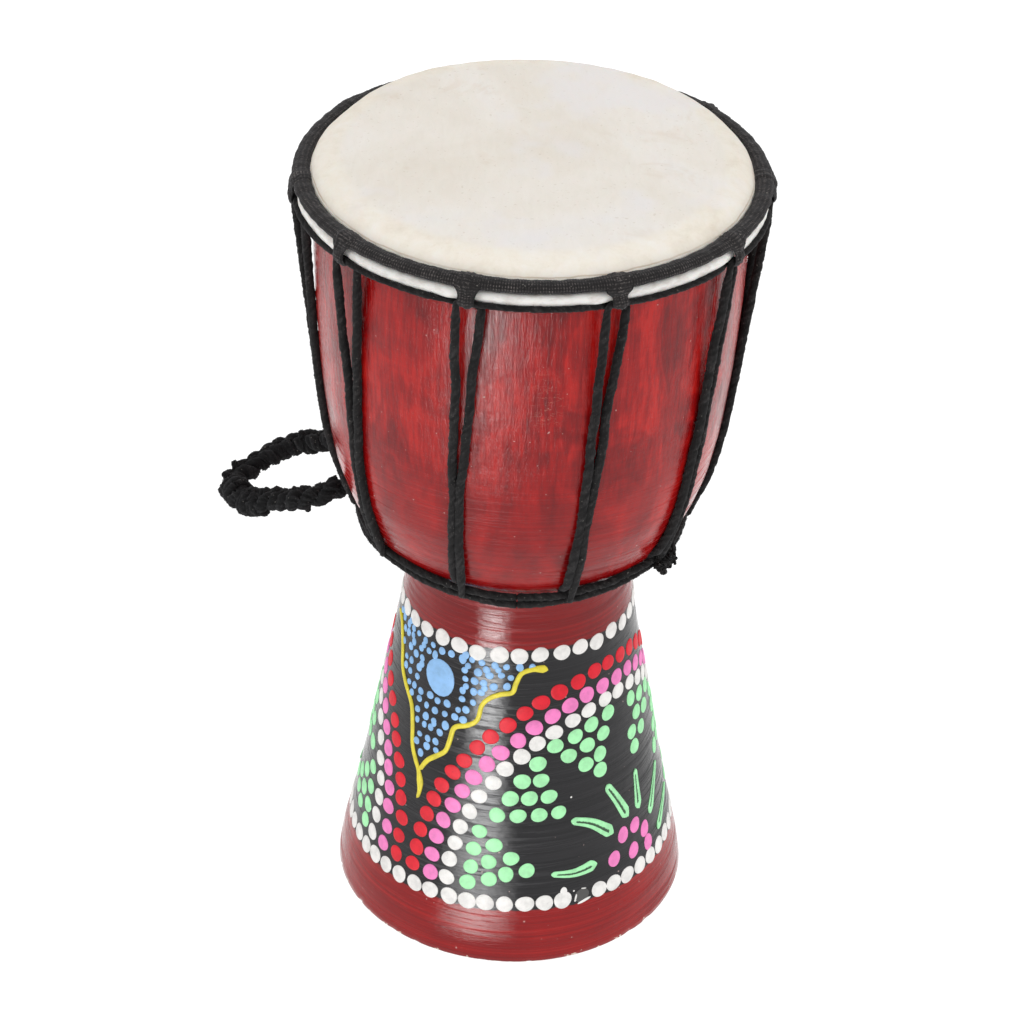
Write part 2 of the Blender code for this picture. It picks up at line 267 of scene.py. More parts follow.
def rope_rings(path, radius, plies, lay, depth, closed=False, seed=1, swell=0.04, lumps=0.04):
    """Rings of a soft laid rope and their shades.

    Each ply is a low rounded ridge that winds round the rope, made of yarns of unequal size
    and greyness that wander along it.
    """
    along = lengths(path, closed)
    whole = along[-1]
    distance = along[:-1] if closed else along
    turns = whole / lay
    if closed:
        turns = max(1, round(turns * plies)) / plies
    sides = plies * 4
    phase = np.arange(sides) / 4
    _, side, other = frames(path, closed)
    spin = TAU * (turns * distance[:, None] / whole + phase[None, :] / plies)
    ridge = np.abs(np.sin(np.pi * phase)) ** 0.8
    source = np.random.default_rng(seed)
    rough = source.normal(0, 1, (len(path), sides))
    yarns = (rough + np.roll(rough, 1, 0) + np.roll(rough, 2, 0) + np.roll(rough, 3, 0)) / 2
    swelling = swell * ripple(distance, 14.0, seed, whole=whole if closed else 0.0)
    size = 1 + swelling[:, None] + lumps * yarns
    reach = np.reshape(radius, (-1, 1)) * size * (1 - depth + depth * ridge[None, :])
    rings = path[:, None] + reach[..., None] * (
        side[:, None] * np.cos(spin)[..., None] + other[:, None] * np.sin(spin)[..., None]
    )
    # Grooves between the plies get a low shade and the plies' crowns a high one; the yarn material
    # turns these into painted shade and painted sheen. The yarns' random greys are the rope's own.
    shade = np.clip(0.42 + 0.25 * ridge[None, :] + 0.26 * yarns, 0.02, 1.0)
    return rings, shade


def scatter(rings, count, seed):
    """Points picked at random on a tube, and the way that leads out of it there."""
    source = np.random.default_rng(seed)
    rows = source.integers(1, len(rings) - 1, count)
    columns = source.integers(0, rings.shape[1], count)
    roots = rings[rows, columns]
    return roots, unit(roots - rings[rows].mean(1))


def add_rope(shape, path, radius, lay=13.0, plies=3, depth=0.08, closed=False, seed=1, hairs=3.0,
             hair_reach=0.9, step=0.65, swell=0.04, lumps=0.04):
    """One rope along a path, with `hairs` stray fibres to each millimetre.

    The radius is a number, or a function that gives one for each point of the path.
    """
    path = spaced(np.asarray(path, float), step, closed)
    thickness = radius(path) if callable(radius) else radius
    rings, shade = rope_rings(path, thickness, plies, lay, depth, closed, seed, swell, lumps)
    shape.tube(rings, shade, closed)
    count = int(hairs * lengths(path, closed)[-1])
    if count:
        roots, ways = scatter(rings, count, seed + 3)
        shape.hairs(roots, ways, hair_reach, 0.05, seed + 5)


# ---------------------------------------------------------------------------------------------
# Materials
# ---------------------------------------------------------------------------------------------


class Wire:
    """A node's output. Sums, differences and products of wires add Math nodes."""

    def __init__(self, nodes, socket):
        self.nodes = nodes
        self.socket = socket

    def __add__(self, other):
        return self.nodes.math("ADD", self, other)

    def __radd__(self, other):
        return self.nodes.math("ADD", other, self)

    def __sub__(self, other):
        return self.nodes.math("SUBTRACT", self, other)

    def __rsub__(self, other):
        return self.nodes.math("SUBTRACT", other, self)

    def __mul__(self, other):
        return self.nodes.math("MULTIPLY", self, other)


class Nodes:
    """Short calls that build one material's node tree on its Principled shader."""

    def __init__(self, name, roughness=0.5, metallic=0.0):
        self.material = bpy.data.materials.new(name)
        self.material.use_nodes = True
        self.tree = self.material.node_tree
        self.shader = self.tree.nodes["Principled BSDF"]
        self.shader.inputs["Roughness"].default_value = roughness
        self.shader.inputs["Metallic"].default_value = metallic
        self.place = self.node("TexCoord").outputs["Object"]
        self.z = Wire(self, self.node("SeparateXYZ", self.place).outputs["Z"])

    def node(self, kind, *given, **settings):
        """A new node with these settings, and its first inputs set or linked."""
        node = self.tree.nodes.new("ShaderNode" + kind)
        for name, setting in settings.items():
            setattr(node, name, setting)
        for target, source in zip(node.inputs, given):
            self.value(target, source)
        return node

    def value(self, target, source):
        """Sets an input, or links it."""
        source = source.socket if isinstance(source, Wire) else source
        if isinstance(source, bpy.types.NodeSocket):
            self.tree.links.new(source, target)
        elif isinstance(source, tuple) and target.type == "RGBA":
            target.default_value = (*source, 1.0)
        else:
            target.default_value = source

    def vector(self, operation, first, second=(0.0, 0.0, 0.0)):
        """The output sockets of a Vector Math node."""
        return self.node("VectorMath", first, second, operation=operation).outputs

    def noise(self, scale, detail=4.0, roughness=0.55, distortion=0.0, shift=0.0):
        """Noise whose scale is in features to a metre, as one number or one for each axis."""
        if isinstance(scale, (int, float)):
            scale = (scale, scale, scale)
        mapping = self.node("Mapping", self.place)
        mapping.inputs["Scale"].default_value = scale
        mapping.inputs["Location"].default_value = (shift, shift * 0.7, shift * 0.4)
        node = self.node("TexNoise", mapping.outputs[0])
        for name, setting in (
            ("Scale", 1.0), ("Detail", detail), ("Roughness", roughness), ("Distortion", distortion),
        ):
            node.inputs[name].default_value = setting
        return Wire(self, node.outputs[0])

    def shade(self):
        """The shade that the mesh holds at each point."""
        return Wire(self, self.node("Attribute", attribute_name="shade").outputs["Fac"])

    def math(self, operation, *values):
        return Wire(self, self.node("Math", *values, operation=operation).outputs[0])

    def between(self, source, low, high, to_low=0.0, to_high=1.0):
        """The source carried from low..high to to_low..to_high, eased at both ends and clamped."""
        node = self.node(
            "MapRange", source, low, high, to_low, to_high, interpolation_type="SMOOTHSTEP",
        )
        return Wire(self, node.outputs[0])

    def ramp(self, source, *stops):
        """A colour for each value, from stops of (value, colour)."""
        node = self.node("ValToRGB", source)
        points = node.color_ramp.elements
        while len(points) < len(stops):
            points.new(0.5)
        for point, (place, colour) in zip(points, stops):
            point.position = place
            point.color = (*colour, 1.0)
        return Wire(self, node.outputs[0])

    def mix(self, factor, first, second):
        """A colour between two, the first where the factor is 0."""
        node = self.node("Mix", factor, data_type="RGBA")
        self.value(node.inputs[6], first)
        self.value(node.inputs[7], second)
        return Wire(self, node.outputs[2])

    def bump(self, height, distance, strength=1.0, under=None):
        """Adds to the shader's normal a bump that is `distance` metres high."""
        node = self.node("Bump")
        self.value(node.inputs["Strength"], strength)
        self.value(node.inputs["Distance"], distance)
        self.value(node.inputs["Height"], height)
        if under is not None:
            self.value(node.inputs["Normal"], under)
        self.value(self.shader.inputs["Normal"], node.outputs[0])
        return node.outputs[0]

    def set(self, **given):
        """Sets or links the shader's sockets, whose names use _ for a space."""
        for name, source in given.items():
            self.value(self.shader.inputs[name.replace("_", " ")], source)
        return self.material


BLACK_LOW_Z = 22.0              # heights of the black painted band on the foot
BLACK_HIGH_Z = 127.0
KNOT_PLACE = around(73.6, 5.5, 251.0) * MM
RED_DARK = (0.140, 0.0022, 0.0032)
RED_DEEP = (0.211, 0.0026, 0.0034)
RED_MID = (0.287, 0.0040, 0.0042)
RED_LIGHT = (0.427, 0.010, 0.0075)
FOOT_RED = (0.230, 0.0034, 0.0042)
FOOT_RED_LIGHT = (0.36, 0.007, 0.006)
# dark red that the foot's red is mixed towards up at the neck: painted shade under the bowl
NECK_SHADED_RED = (0.113, 0.0020, 0.0028)
PAINT_VARIATION = 0.16          # share by which a paint's colour varies
PAINTS = {
    "white": (0.805, 0.79, 0.765), "red": (0.69, 0.010, 0.026), "pink": (0.86, 0.22, 0.53),
    "green": (0.385, 0.85, 0.44), "blue": (0.277, 0.51, 0.83), "yellow": (0.75, 0.64, 0.05),
}


def lacquer_material():
    """Red lacquer over figured wood, a black painted band, and bare wood inside."""
    n = Nodes("red_lacquered_wood")
    upper = n.between(n.z, 0.185, 0.235)
    upright = n.noise((720, 720, 42), 5, 0.62, 0.3)
    level = n.noise((9, 9, 1150), 5, 0.6)
    blotches = n.noise((34, 34, 17), 3, 0.5, 1.4, shift=3.1)
    clouds = n.noise((95, 95, 52), 4, 0.6, 0.8, shift=7.7)

    # A knot in the front of the bowl, with the grain bent round it in rings.
    away = n.vector("SUBTRACT", n.place, KNOT_PLACE)[0]
    stretched = n.vector("MULTIPLY", away, (1.0, 0.6, 0.52))[0]
    knot_reach = Wire(n, n.vector("LENGTH", stretched)["Value"]) + blotches * 0.008
    rings = n.math("SINE", knot_reach * 1500.0)
    knot = rings * 0.045 * n.between(knot_reach, 0.007, 0.024, 1.0, 0.0)
    heart = n.between(knot_reach, 0.0045, 0.0080, -0.11, 0.0)

    grain = (upright - 0.5) * (upper * 0.72)
    turned = (level - 0.5) * (0.42 - upper * 0.24)
    figure = n.math("SINE", blotches * 46.0) * 0.050
    tone = blotches * 0.85 + clouds * 0.50 - 0.045 + figure * upper
    tone = tone + (grain + turned) + (knot + heart)
    red = n.ramp(tone, (0.36, RED_DARK), (0.52, RED_DEEP), (0.66, RED_MID), (0.84, RED_LIGHT))

    # The foot and the neck are a deeper, plainer red than the bowl. Towards the neck, under the bowl's
    # overhang, the red darkens: painted shade.
    low = n.between(n.z, 0.150, 0.172, 1.0, 0.0)
    foot_red = n.ramp(level + blotches * 0.3, (0.35, RED_DARK), (0.62, FOOT_RED), (0.9, FOOT_RED_LIGHT))
    foot_red = n.mix(n.between(n.z, 0.06, 0.13, 0.0, 0.35), foot_red, NECK_SHADED_RED)
    red = n.mix(low, red, foot_red)

    # Black band, with edges that follow the hand that brushed it.
    height = n.z + (n.noise(140, 3) - 0.5) * 0.0022
    above = n.between(height, (BLACK_LOW_Z - 0.3) * MM, (BLACK_LOW_Z + 0.3) * MM)
    below = n.between(height, (BLACK_HIGH_Z - 0.3) * MM, (BLACK_HIGH_Z + 0.3) * MM, 1.0, 0.0)
    brushing = n.noise((14, 14, 900), 4, shift=2.0)
    black = n.ramp(brushing, (0.3, (0.007, 0.007, 0.008)), (0.75, (0.020, 0.019, 0.021)))
    colour = n.mix(above * below, red, black)

    # Pale chips along the bottom edge, and rare specks of dust in the lacquer.
    ragged = n.z + n.noise(380, 3, shift=5.0) * -0.014
    edge = n.between(ragged, -0.0078, -0.0070, 1.0, 0.0)
    colour = n.mix(edge, colour, (0.62, 0.50, 0.42))
    specks = n.between(n.noise(680, 1, 0.3, shift=11.0), 0.795, 0.82, 0.0, 0.5)
    colour = n.mix(specks, colour, (0.70, 0.52, 0.48))
    # Fine pale scratches round the knot.
    squiggle = n.math("ABSOLUTE", n.noise((150, 150, 420), 3, 0.6, shift=8.0) - 0.5)
    near_knot = n.between(knot_reach, 0.005, 0.013, 1.0, 0.0)
    scratch = n.between(squiggle, 0.0, 0.009, 0.6, 0.0) * near_knot
    colour = n.mix(scratch, colour, (0.55, 0.26, 0.20))

    # Bare wood inside.
    inside = n.shade()
    figure = n.noise((480, 480, 26), 4, 0.6, 0.4)
    bare = n.ramp(figure, (0.3, (0.30, 0.17, 0.09)), (0.7, (0.47, 0.30, 0.17)))
    colour = n.mix(inside, colour, bare)

    # Fine upright crackle in the lacquer of the bowl, and level brush marks below it.
    pores = n.noise((1150, 1150, 170), 4, 0.65, 0.8, shift=4.0)
    brushed = n.noise((22, 22, 760), 4, 0.75, shift=6.0)
    lower = 1.0 - upper
    bowl_rough = n.between(pores, 0.46, 0.62, 0.07, 0.28) * upper
    foot_rough = n.between(brushed, 0.50, 0.60, 0.06, 0.50) * lower
    rough = bowl_rough + foot_rough + inside * 0.4
    fine = n.bump(pores * (upper * 1.4) + brushed * lower, 0.00014, 0.85)
    n.bump(n.noise(150, 2, shift=9.0), 0.0005, 0.35, under=fine)
    return n.set(Base_Color=colour, Roughness=rough, Specular_IOR_Level=0.275)


def paint_material(name, colour):
    """Thick dabbed paint: slightly uneven in colour, with small pits and brush marks."""
    n = Nodes(name)
    uneven = n.noise(260, 4, 0.6)
    darker = tuple(c * (1 - PAINT_VARIATION) for c in colour)
    lighter = tuple(min(1.0, c * (1 + PAINT_VARIATION * 0.5)) for c in colour)
    tone = n.ramp(uneven, (0.35, darker), (0.55, colour), (0.75, lighter))
    dirt = n.between(n.noise(900, 2, shift=3.0), 0.70, 0.76, 0.0, 0.35)
    tone = n.mix(dirt, tone, tuple(c * 0.45 for c in colour))
    # A low shade marks where the paint is dragged thin and the black shows through.
    thin = n.between(n.shade() + n.noise(1500, 2) * 0.25, 0.30, 0.42, 1.0, 0.0)
    tone = n.mix(thin, tone, tuple(c * 0.10 for c in colour))
    n.bump(n.noise(650, 4, 0.6, shift=6.0), 0.00012, 0.6)
    return n.set(Base_Color=tone, Specular_IOR_Level=0.24)


def skin_material():
    """Scraped goatskin: cream with cloudy patches and pores, paler at the bend of the rim, with a
    painted highlight along its edge.
    """
    n = Nodes("goatskin", 0.6)
    clouds = n.noise(15, 4, 0.55, 0.9, shift=2.0)
    cloudy = n.ramp(clouds, (0.32, (0.675, 0.620, 0.545)), (0.46, (0.715, 0.668, 0.605)),
                    (0.57, (0.740, 0.698, 0.650)), (0.70, (0.720, 0.695, 0.675)))
    fibres = n.noise((330, 90, 330), 5, 0.7, 0.8)
    tone = n.mix(0.25, cloudy, n.ramp(fibres, (0.3, (0.65, 0.60, 0.53)), (0.7, (0.79, 0.75, 0.70))))
    blots = n.between(n.noise(48, 4, 0.65, 0.6, shift=15.0), 0.58, 0.72, 0.0, 0.34)
    tone = n.mix(blots, tone, (0.60, 0.50, 0.40))
    pores = n.between(n.noise(760, 2, 0.4, shift=8.0), 0.66, 0.74, 0.0, 0.28)
    tone = n.mix(pores, tone, (0.42, 0.34, 0.25))
    ragged = n.shade() + (n.noise(150, 4) - 0.5) * 0.10
    # Towards the bend the skin is warmer and mottled, with a thin broken brown line near the cloth, and
    # a pale band at the cloth's edge that is a painted highlight.
    bend = n.between(ragged, 0.50, 0.95, 0.65, 0.0)
    mottles = n.noise((110, 110, 110), 5, 0.7, 0.2, shift=5.0)
    mottled = n.ramp(mottles, (0.30, (0.66, 0.59, 0.48)), (0.50, (0.76, 0.70, 0.60)),
                     (0.70, (0.79, 0.755, 0.70)))
    tone = n.mix(bend, tone, mottled)
    cool = n.between(n.noise(26, 3, 0.55, shift=21.0), 0.52, 0.66, 0.0, 0.55)
    tone = n.mix(cool, tone, (0.715, 0.690, 0.700))
    line = n.between(ragged, 0.060, 0.080) * n.between(ragged, 0.095, 0.125, 1.0, 0.0)
    line = line * n.between(n.noise(45, 3, shift=4.0), 0.36, 0.6, 0.10, 0.55)
    tone = n.mix(line, tone, (0.42, 0.31, 0.20))
    # Pale band just in from the cloth: a painted highlight on the rounded rim.
    tone = n.mix(n.between(ragged, 0.045, 0.070, 1.0, 0.0), tone, (0.86, 0.81, 0.72))
    # The folded skin below the ring is whiter, with grey smudges.
    fold = n.between(n.z, 0.2950, 0.2958, 1.0, 0.0)
    smudges = n.noise((240, 240, 500), 4, 0.6)
    smudged = n.ramp(smudges, (0.3, (0.64, 0.60, 0.56)), (0.55, (0.83, 0.81, 0.78)))
    tone = n.mix(fold, tone, smudged)
    fine = n.bump(n.noise(950, 4, 0.65, shift=3.0), 0.00010, 0.5)
    n.bump(n.noise((70, 34, 70), 3, 0.5, 0.7), 0.0008, 0.22, under=fine)
    return n.set(
        Base_Color=tone, Subsurface_Weight=0.06, Subsurface_Scale=0.002, Specular_IOR_Level=0.35,
    )


def fibre_material(name, dark, light, scale, roughness=0.8, sheen=0.12, height=0.00016):
    """Black yarn: fibres of differing greys, with painted sheen on the ridges and painted shade in the
    grooves.
    """
    n = Nodes(name, roughness)
    strands = n.noise(scale, 4, 0.7, 1.2)
    patches = n.noise(150, 3, 0.5, shift=4.0)
    # The mesh's shade carries painted shade in grooves and hollows and painted sheen on ridges and
    # crests.
    ridge = n.shade() * (0.45 + patches * 0.9)
    tone = ridge * n.between(strands, 0.32, 0.72, 0.35, 1.25)
    colour = n.ramp(tone, (0.0, tuple(c * 0.35 for c in dark)), (0.35, dark), (1.0, light))
    lint = n.between(n.noise(1300, 1, 0.3, shift=9.0), 0.73, 0.79, 0.0, 0.6)
    colour = n.mix(lint, colour, (0.20, 0.19, 0.17))
    n.bump(strands, height, 0.9)
    return n.set(
        Base_Color=colour, Specular_IOR_Level=0.18, Sheen_Weight=sheen, Sheen_Roughness=0.5,
        Sheen_Tint=(0.75, 0.76, 0.80),
    )


def steel_material():
    n = Nodes("ring_steel", 0.35, 1.0)
    brushed = n.noise((260, 260, 2600), 4, 0.6)
    colour = n.ramp(brushed, (0.3, (0.36, 0.35, 0.34)), (0.7, (0.60, 0.59, 0.58)))
    rust = n.between(n.noise(210, 4, shift=2.0), 0.60, 0.72, 0.0, 0.7)
    colour = n.mix(rust, colour, (0.20, 0.085, 0.04))
    n.bump(brushed, 0.00005, 0.5)
    return n.set(Base_Color=colour, Roughness=n.between(brushed, 0.3, 0.7, 0.28, 0.46))


# ---------------------------------------------------------------------------------------------
# Shell
# ---------------------------------------------------------------------------------------------

SHELL_OUTSIDE = (
    (65.5, 0.0), (66.3, 1.0), (64.5, 12.0), (61.4, 25.0), (56.3, 50.0), (50.7, 80.0),
    (45.0, 110.0), (41.5, 132.0), (40.4, 144.0), (41.2, 151.0), (44.0, 155.4), (49.2, 158.6),
    (54.4, 161.2), (57.3, 164.2), (59.2, 167.8), (61.0, 171.8), (63.0, 176.6), (65.0, 182.4),
    (67.2, 190.0), (69.9, 206.0), (71.9, 225.0), (73.4, 248.0), (74.1, 270.0), (73.9, 284.0),
    (73.4, 289.2),
)
BOWL_START = 13                 # index in SHELL_OUTSIDE of the bowl's first convex point
BEARING_EDGE = ((73.3, 295.0), (72.8, 297.0), (71.8, 298.7), (70.1, 300.2), (67.6, 301.3))
SHELL_INSIDE = (
    (65.2, 300.4), (64.4, 295.0), (63.8, 270.0), (62.2, 240.0), (58.6, 212.0), (52.0, 190.0),
    (42.0, 172.0), (31.0, 160.5), (26.0, 150.0), (26.6, 138.0), (30.0, 118.0), (36.0, 90.0),
    (43.0, 52.0), (49.0, 20.0), (53.0, 0.0),
)
SHELL_SEGMENTS = 320

side_line = smooth(SHELL_OUTSIDE[1:], 6)
side_slope = unit(np.gradient(side_line, axis=0))


def wobble(angle, height):
    """How far the hand-turned shell stands out of true, in millimetres."""
    turn = np.radians(angle)
    return (
        0.12 * np.sin(2 * turn + 1.3 + height / 90) + 0.07 * np.sin(5 * turn + height / 37)
        + 0.05 * np.sin(height / 4.1 + 2 * np.sin(turn))
    )


def shell_radius(height):
    return np.interp(height, side_line[:, 1], side_line[:, 0])


def on_shell(angle, height, lift=0.0):
    """Points on the outside of the shell, or `lift` outwards from it."""
    along_r = np.interp(height, side_line[:, 1], side_slope[:, 0])
    along_z = np.interp(height, side_line[:, 1], side_slope[:, 1])
    radius = shell_radius(height) + wobble(angle, height) + lift * along_z
    return around(radius, angle, height - lift * along_r)


def build_shell(material):
    outside = np.concatenate([[SHELL_OUTSIDE[0]], side_line, BEARING_EDGE])
    inside = smooth(SHELL_INSIDE, 3)
    outline = np.concatenate([outside, inside])
    angles = np.arange(SHELL_SEGMENTS) * (360 / SHELL_SEGMENTS)
    radius = outline[:, 0][:, None] + wobble(angles[None, :], outline[:, 1][:, None])
    rings = around(radius, angles[None, :], outline[:, 1][:, None])
    # Small chips knocked out of the bottom edge.
    source = random.Random(41)
    for _ in range(20):
        at, wide, deep = source.uniform(0, 360), source.uniform(0.8, 2.4), source.uniform(0.2, 0.6)
        dent = deep * np.clip(1 - gap_round(angles, (at,)) / wide, 0, 1)
        rings[0, :, 2] += dent * 0.8
        rings[1] *= (1 - dent / 66.3 * 0.8)[:, None] * np.array([1, 1, 0]) + np.array([0, 0, 1])
    shade = np.concatenate([np.zeros(len(outside)), np.ones(len(inside))])[:, None]
    shape = Shape()
    shape.tube(rings, shade, closed=True)
    shape.finish("shell_wood", material, "lacquered_wood", ["shell"])


# ---------------------------------------------------------------------------------------------
# Painted decoration on the foot: raised dabs and lines of paint that follow the surface
# ---------------------------------------------------------------------------------------------

HALF_TURNS = (0.0, 180.0)       # the pattern is painted twice round the foot
ARCH_ANGLE = 49.5               # centre of an arch
ARCH_Z = 35.0
ARCH_BOTTOM_Z = 31.5            # where an arch's two ends stand
ARCH_STEP = 7.6                 # from one dab of an arch to the next
ARCH_DAB = 6.3                  # width of one


def dab(shape, angle, height, width, tall, source, lift=0.34, lean=0.0, shade=1.0):
    """One dab of paint: a low dome with an uneven edge, `width` round by `tall` up, in mm."""
    turns = np.arange(DAB_SIDES) * TAU / DAB_SIDES
    edge = 1 + 0.035 * np.sin(2 * turns + source.uniform(0, TAU))
    edge = edge + 0.022 * np.sin(3 * turns + source.uniform(0, TAU))
    shares = ((1.0, -0.15), (1.0, 0.12), (0.95, 0.48), (0.85, 0.76), (0.62, 0.93), (0.3, 1.0))
    rings = []
    slope = math.radians(lean)
    for share, up in shares:
        across = width / 2 * share * edge * np.cos(turns)
        rise = tall / 2 * share * edge * np.sin(turns)
        u = across * math.cos(slope) - rise * math.sin(slope)
        v = across * math.sin(slope) + rise * math.cos(slope)
        at = angle + np.degrees(u / shell_radius(height))
        rings.append(on_shell(at, height + v * 0.975, lift * up))
    shape.tube(np.array(rings), shade)


def stroke(shape, points, widths, lift, groove=0.0, groove_at=0.0):
    """A raised line of paint through points of (angle, height), with a width at each point.

    `groove` is how deep a furrow runs along it, as a share of its height, `groove_at` to one side.
    """
    table = np.column_stack([np.asarray(points, float), np.asarray(widths, float)])
    table = spaced(smooth(table, 8), 0.55 if len(points) > 4 else 0.45)
    angle, height, width = table.T
    scale = np.radians(shell_radius(height))
    flat = np.stack([angle * scale, height], -1)
    way = unit(np.gradient(flat, axis=0))
    left = np.stack([-way[:, 1], way[:, 0]], -1)
    along = lengths(flat)
    ends = np.minimum(along, along[-1] - along)
    width = width * np.sqrt(np.clip(ends / np.maximum(width / 2, 0.2), 0.02, 1))
    profile = np.array([-1, -0.97, -0.8, -0.5, -0.18, 0.18, 0.5, 0.8, 0.97, 1, 0.5, -0.5])
    ups = np.array([-0.1, 0.25, 0.72, 0.95, 1, 1, 0.95, 0.72, 0.25, -0.1, -0.25, -0.25])
    furrow = np.exp(-((profile - groove_at) / 0.55) ** 2) * (ups > 0.8)
    shade = 1.0 - (0.95 * furrow if groove else 0 * furrow)
    thinning = np.clip(ends / 2.0 - 0.25, 0, 1)[:, None]
    rings = []
    for share, up, cut in zip(profile, ups, furrow):
        offset = left * (width * share / 2)[:, None]
        level = up * (1 - groove * cut * thinning[:, 0])
        rings.append(on_shell(angle + offset[:, 0] / scale, height + offset[:, 1], lift * level))
    rings = np.stack(rings, 1)[:, ::-1]
    shade = 1.0 - (1.0 - shade[None, ::-1]) * thinning
    shape.tube(rings, shade)


def arch_places(wide, tall):
    """Places along an arch: half an ellipse, and straight down to the band's lower edge."""
    turns = np.linspace(0, np.pi, 400)
    angle = ARCH_ANGLE + wide * np.cos(turns)
    height = ARCH_Z + tall * np.sin(turns)
    drop = np.linspace(ARCH_BOTTOM_Z, ARCH_Z, 8, endpoint=False)
    angle = np.concatenate([np.full(8, angle[0]), angle, np.full(8, angle[-1])])
    height = np.concatenate([drop, height, drop[::-1]])
    scale = np.radians(shell_radius(height))
    flat = np.stack([angle * scale, height], -1)
    moves = np.diff(flat, axis=0)
    moves[:, 0] = np.diff(angle) * (scale[1:] + scale[:-1]) / 2
    along = np.concatenate([[0], np.cumsum(np.linalg.norm(moves, axis=1))])
    count = round(along[-1] / ARCH_STEP) + 1
    wanted = np.linspace(0, along[-1], count)
    return np.interp(wanted, along, angle), np.interp(wanted, along, height)


def add_arch(shape, wide, tall, seed):
    source = random.Random(seed)
    for turn in HALF_TURNS:
        for angle, height in zip(*arch_places(wide, tall)):
            nudge = source.uniform(-0.5, 0.5)
            width = ARCH_DAB * source.uniform(0.93, 1.05)
            tall_dot = ARCH_DAB * source.uniform(0.93, 1.05)
            z = height + source.uniform(-0.3, 0.3)
            dab(shape, angle + turn + nudge, z, width, tall_dot, source)


# Green triangles of dabs, as (angle, height), for the left half of an arch.
GREEN_DABS = (
    (-14.5, 32.0), (-14.0, 38.5), (-13.5, 46.0), (-11.5, 53.5), (-7.0, 34.5), (-7.0, 41.5),
    (-6.0, 48.5), (-1.0, 37.0), (0.5, 43.5), (7.0, 38.5),
    (-5.0, 61.0), (3.0, 61.0), (11.0, 61.0), (19.0, 61.0), (0.0, 68.0), (7.5, 68.0), (15.0, 68.0),
    (4.5, 75.0), (12.0, 75.0), (11.0, 81.8),
    (18.0, 88.0), (27.5, 90.0), (36.5, 92.5), (45.5, 94.0), (24.5, 83.0), (33.0, 85.0),
    (42.0, 87.0), (31.5, 77.5), (39.5, 79.5), (38.5, 73.0),
)
FLOWER_DABS = (
    (41.5, 34.0), (47.0, 41.5), (54.0, 42.0), (59.5, 37.0), (60.5, 30.5), (51.5, 32.5),
)
# Green rays round the flower: thin end, fat end, width of each, and the bend in the middle.
RAYS = (
    ((15.5, 36.0), (33.5, 35.8), 2.2, 5.2, -1.2),
    ((24.0, 56.5), (42.0, 45.0), 3.0, 5.4, 1.8),
    ((41.0, 65.5), (50.5, 48.0), 3.4, 5.2, 0.8),
    ((58.5, 64.0), (57.5, 47.5), 2.2, 4.8, 0.4),
    ((77.0, 56.0), (64.5, 40.5), 1.5, 4.8, 0.9),
    ((86.0, 39.0), (68.5, 30.5), 1.5, 4.4, 1.2),
)
YELLOW_LEFT = (
    (-79.0, 119.5), (-75.5, 118.5), (-71.5, 116.0), (-67.0, 110.5),
    (-63.0, 103.0), (-58.0, 98.5), (-51.0, 93.0), (-48.0, 86.0), (-46.0, 78.0), (-43.0, 73.0),
    (-40.5, 69.5), (-39.0, 65.5), (-38.5, 61.5), (-39.0, 58.5),
)
YELLOW_RIGHT = (
    (-40.0, 70.0), (-37.0, 75.0), (-33.0, 78.5), (-29.0, 82.0), (-27.5, 87.0), (-26.0, 92.5),
    (-20.0, 95.0), (-16.0, 98.0), (-14.5, 104.0), (-11.0, 107.5), (-6.0, 109.5), (-1.0, 110.5),
    (0.5, 114.0), (3.0, 118.0), (8.0, 119.5), (12.0, 119.5), (15.5, 119.0),
)
BLUE_OVAL = (-37.0, 109.5)
BLUE_TOP_Z = 120.6              # heights of the first and last rows of small blue dabs
BLUE_BOTTOM_Z = 73.0
BLUE_ROW_STEP = 4.05
UPPER_DOTS = 35                 # white dabs in the row along each edge of the black band
UPPER_DOTS_Z = 124.8
LOWER_DOTS = 53
LOWER_DOTS_Z = 24.5
CHIPPED_DOT = 4                 # number of the dab in the lower row that is chipped
DAB_SIDES = 22


def build_white_paint(material):
    shape = Shape()
    source = random.Random(3)
    for i in range(UPPER_DOTS):
        angle = 2.0 + i * 360 / UPPER_DOTS + source.uniform(-0.5, 0.5)
        height = UPPER_DOTS_Z + source.uniform(-0.5, 0.5)
        dab(shape, angle, height, 6.7 * source.uniform(0.93, 1.06),
            6.4 * source.uniform(0.93, 1.06), source)
    for i in range(LOWER_DOTS):
        angle = -0.6 + i * 360 / LOWER_DOTS + source.uniform(-0.35, 0.35)
        height = LOWER_DOTS_Z + source.uniform(-0.4, 0.4)
        if i == CHIPPED_DOT:
            # One dab has lost most of its paint: slivers of it are left round a grey scab.
            dab(shape, angle, height, 6.0, 5.4, source, lift=0.14, lean=10, shade=0.05)
            dab(shape, angle + 0.8, height - 2.4, 5.6, 1.2, source, lift=0.24, lean=14)
            dab(shape, angle - 2.3, height - 0.2, 0.8, 2.8, source, lift=0.22, lean=-18)
            dab(shape, angle + 0.9, height + 2.6, 2.2, 0.5, source, lift=0.2, lean=-12)
            dab(shape, angle - 2.6, height - 1.5, 0.9, 0.9, source, lift=0.15)
            dab(shape, angle - 2.9, height + 2.6, 0.7, 0.7, source, lift=0.15)
            continue
        dab(shape, angle, height, 6.9 * source.uniform(0.93, 1.05),
            6.7 * source.uniform(0.93, 1.05), source)
    # A peak pulled up from the dab beside the chipped one.
    dab(shape, 20.0, 28.3, 2.6, 3.4, source, lift=0.3)
    add_arch(shape, 71.5, 65.0, seed=13)
    dab(shape, 24.5, 66.0, 0.8, 0.8, source, lift=0.15)
    shape.finish("paint_dots_white", material, "lacquered_wood")


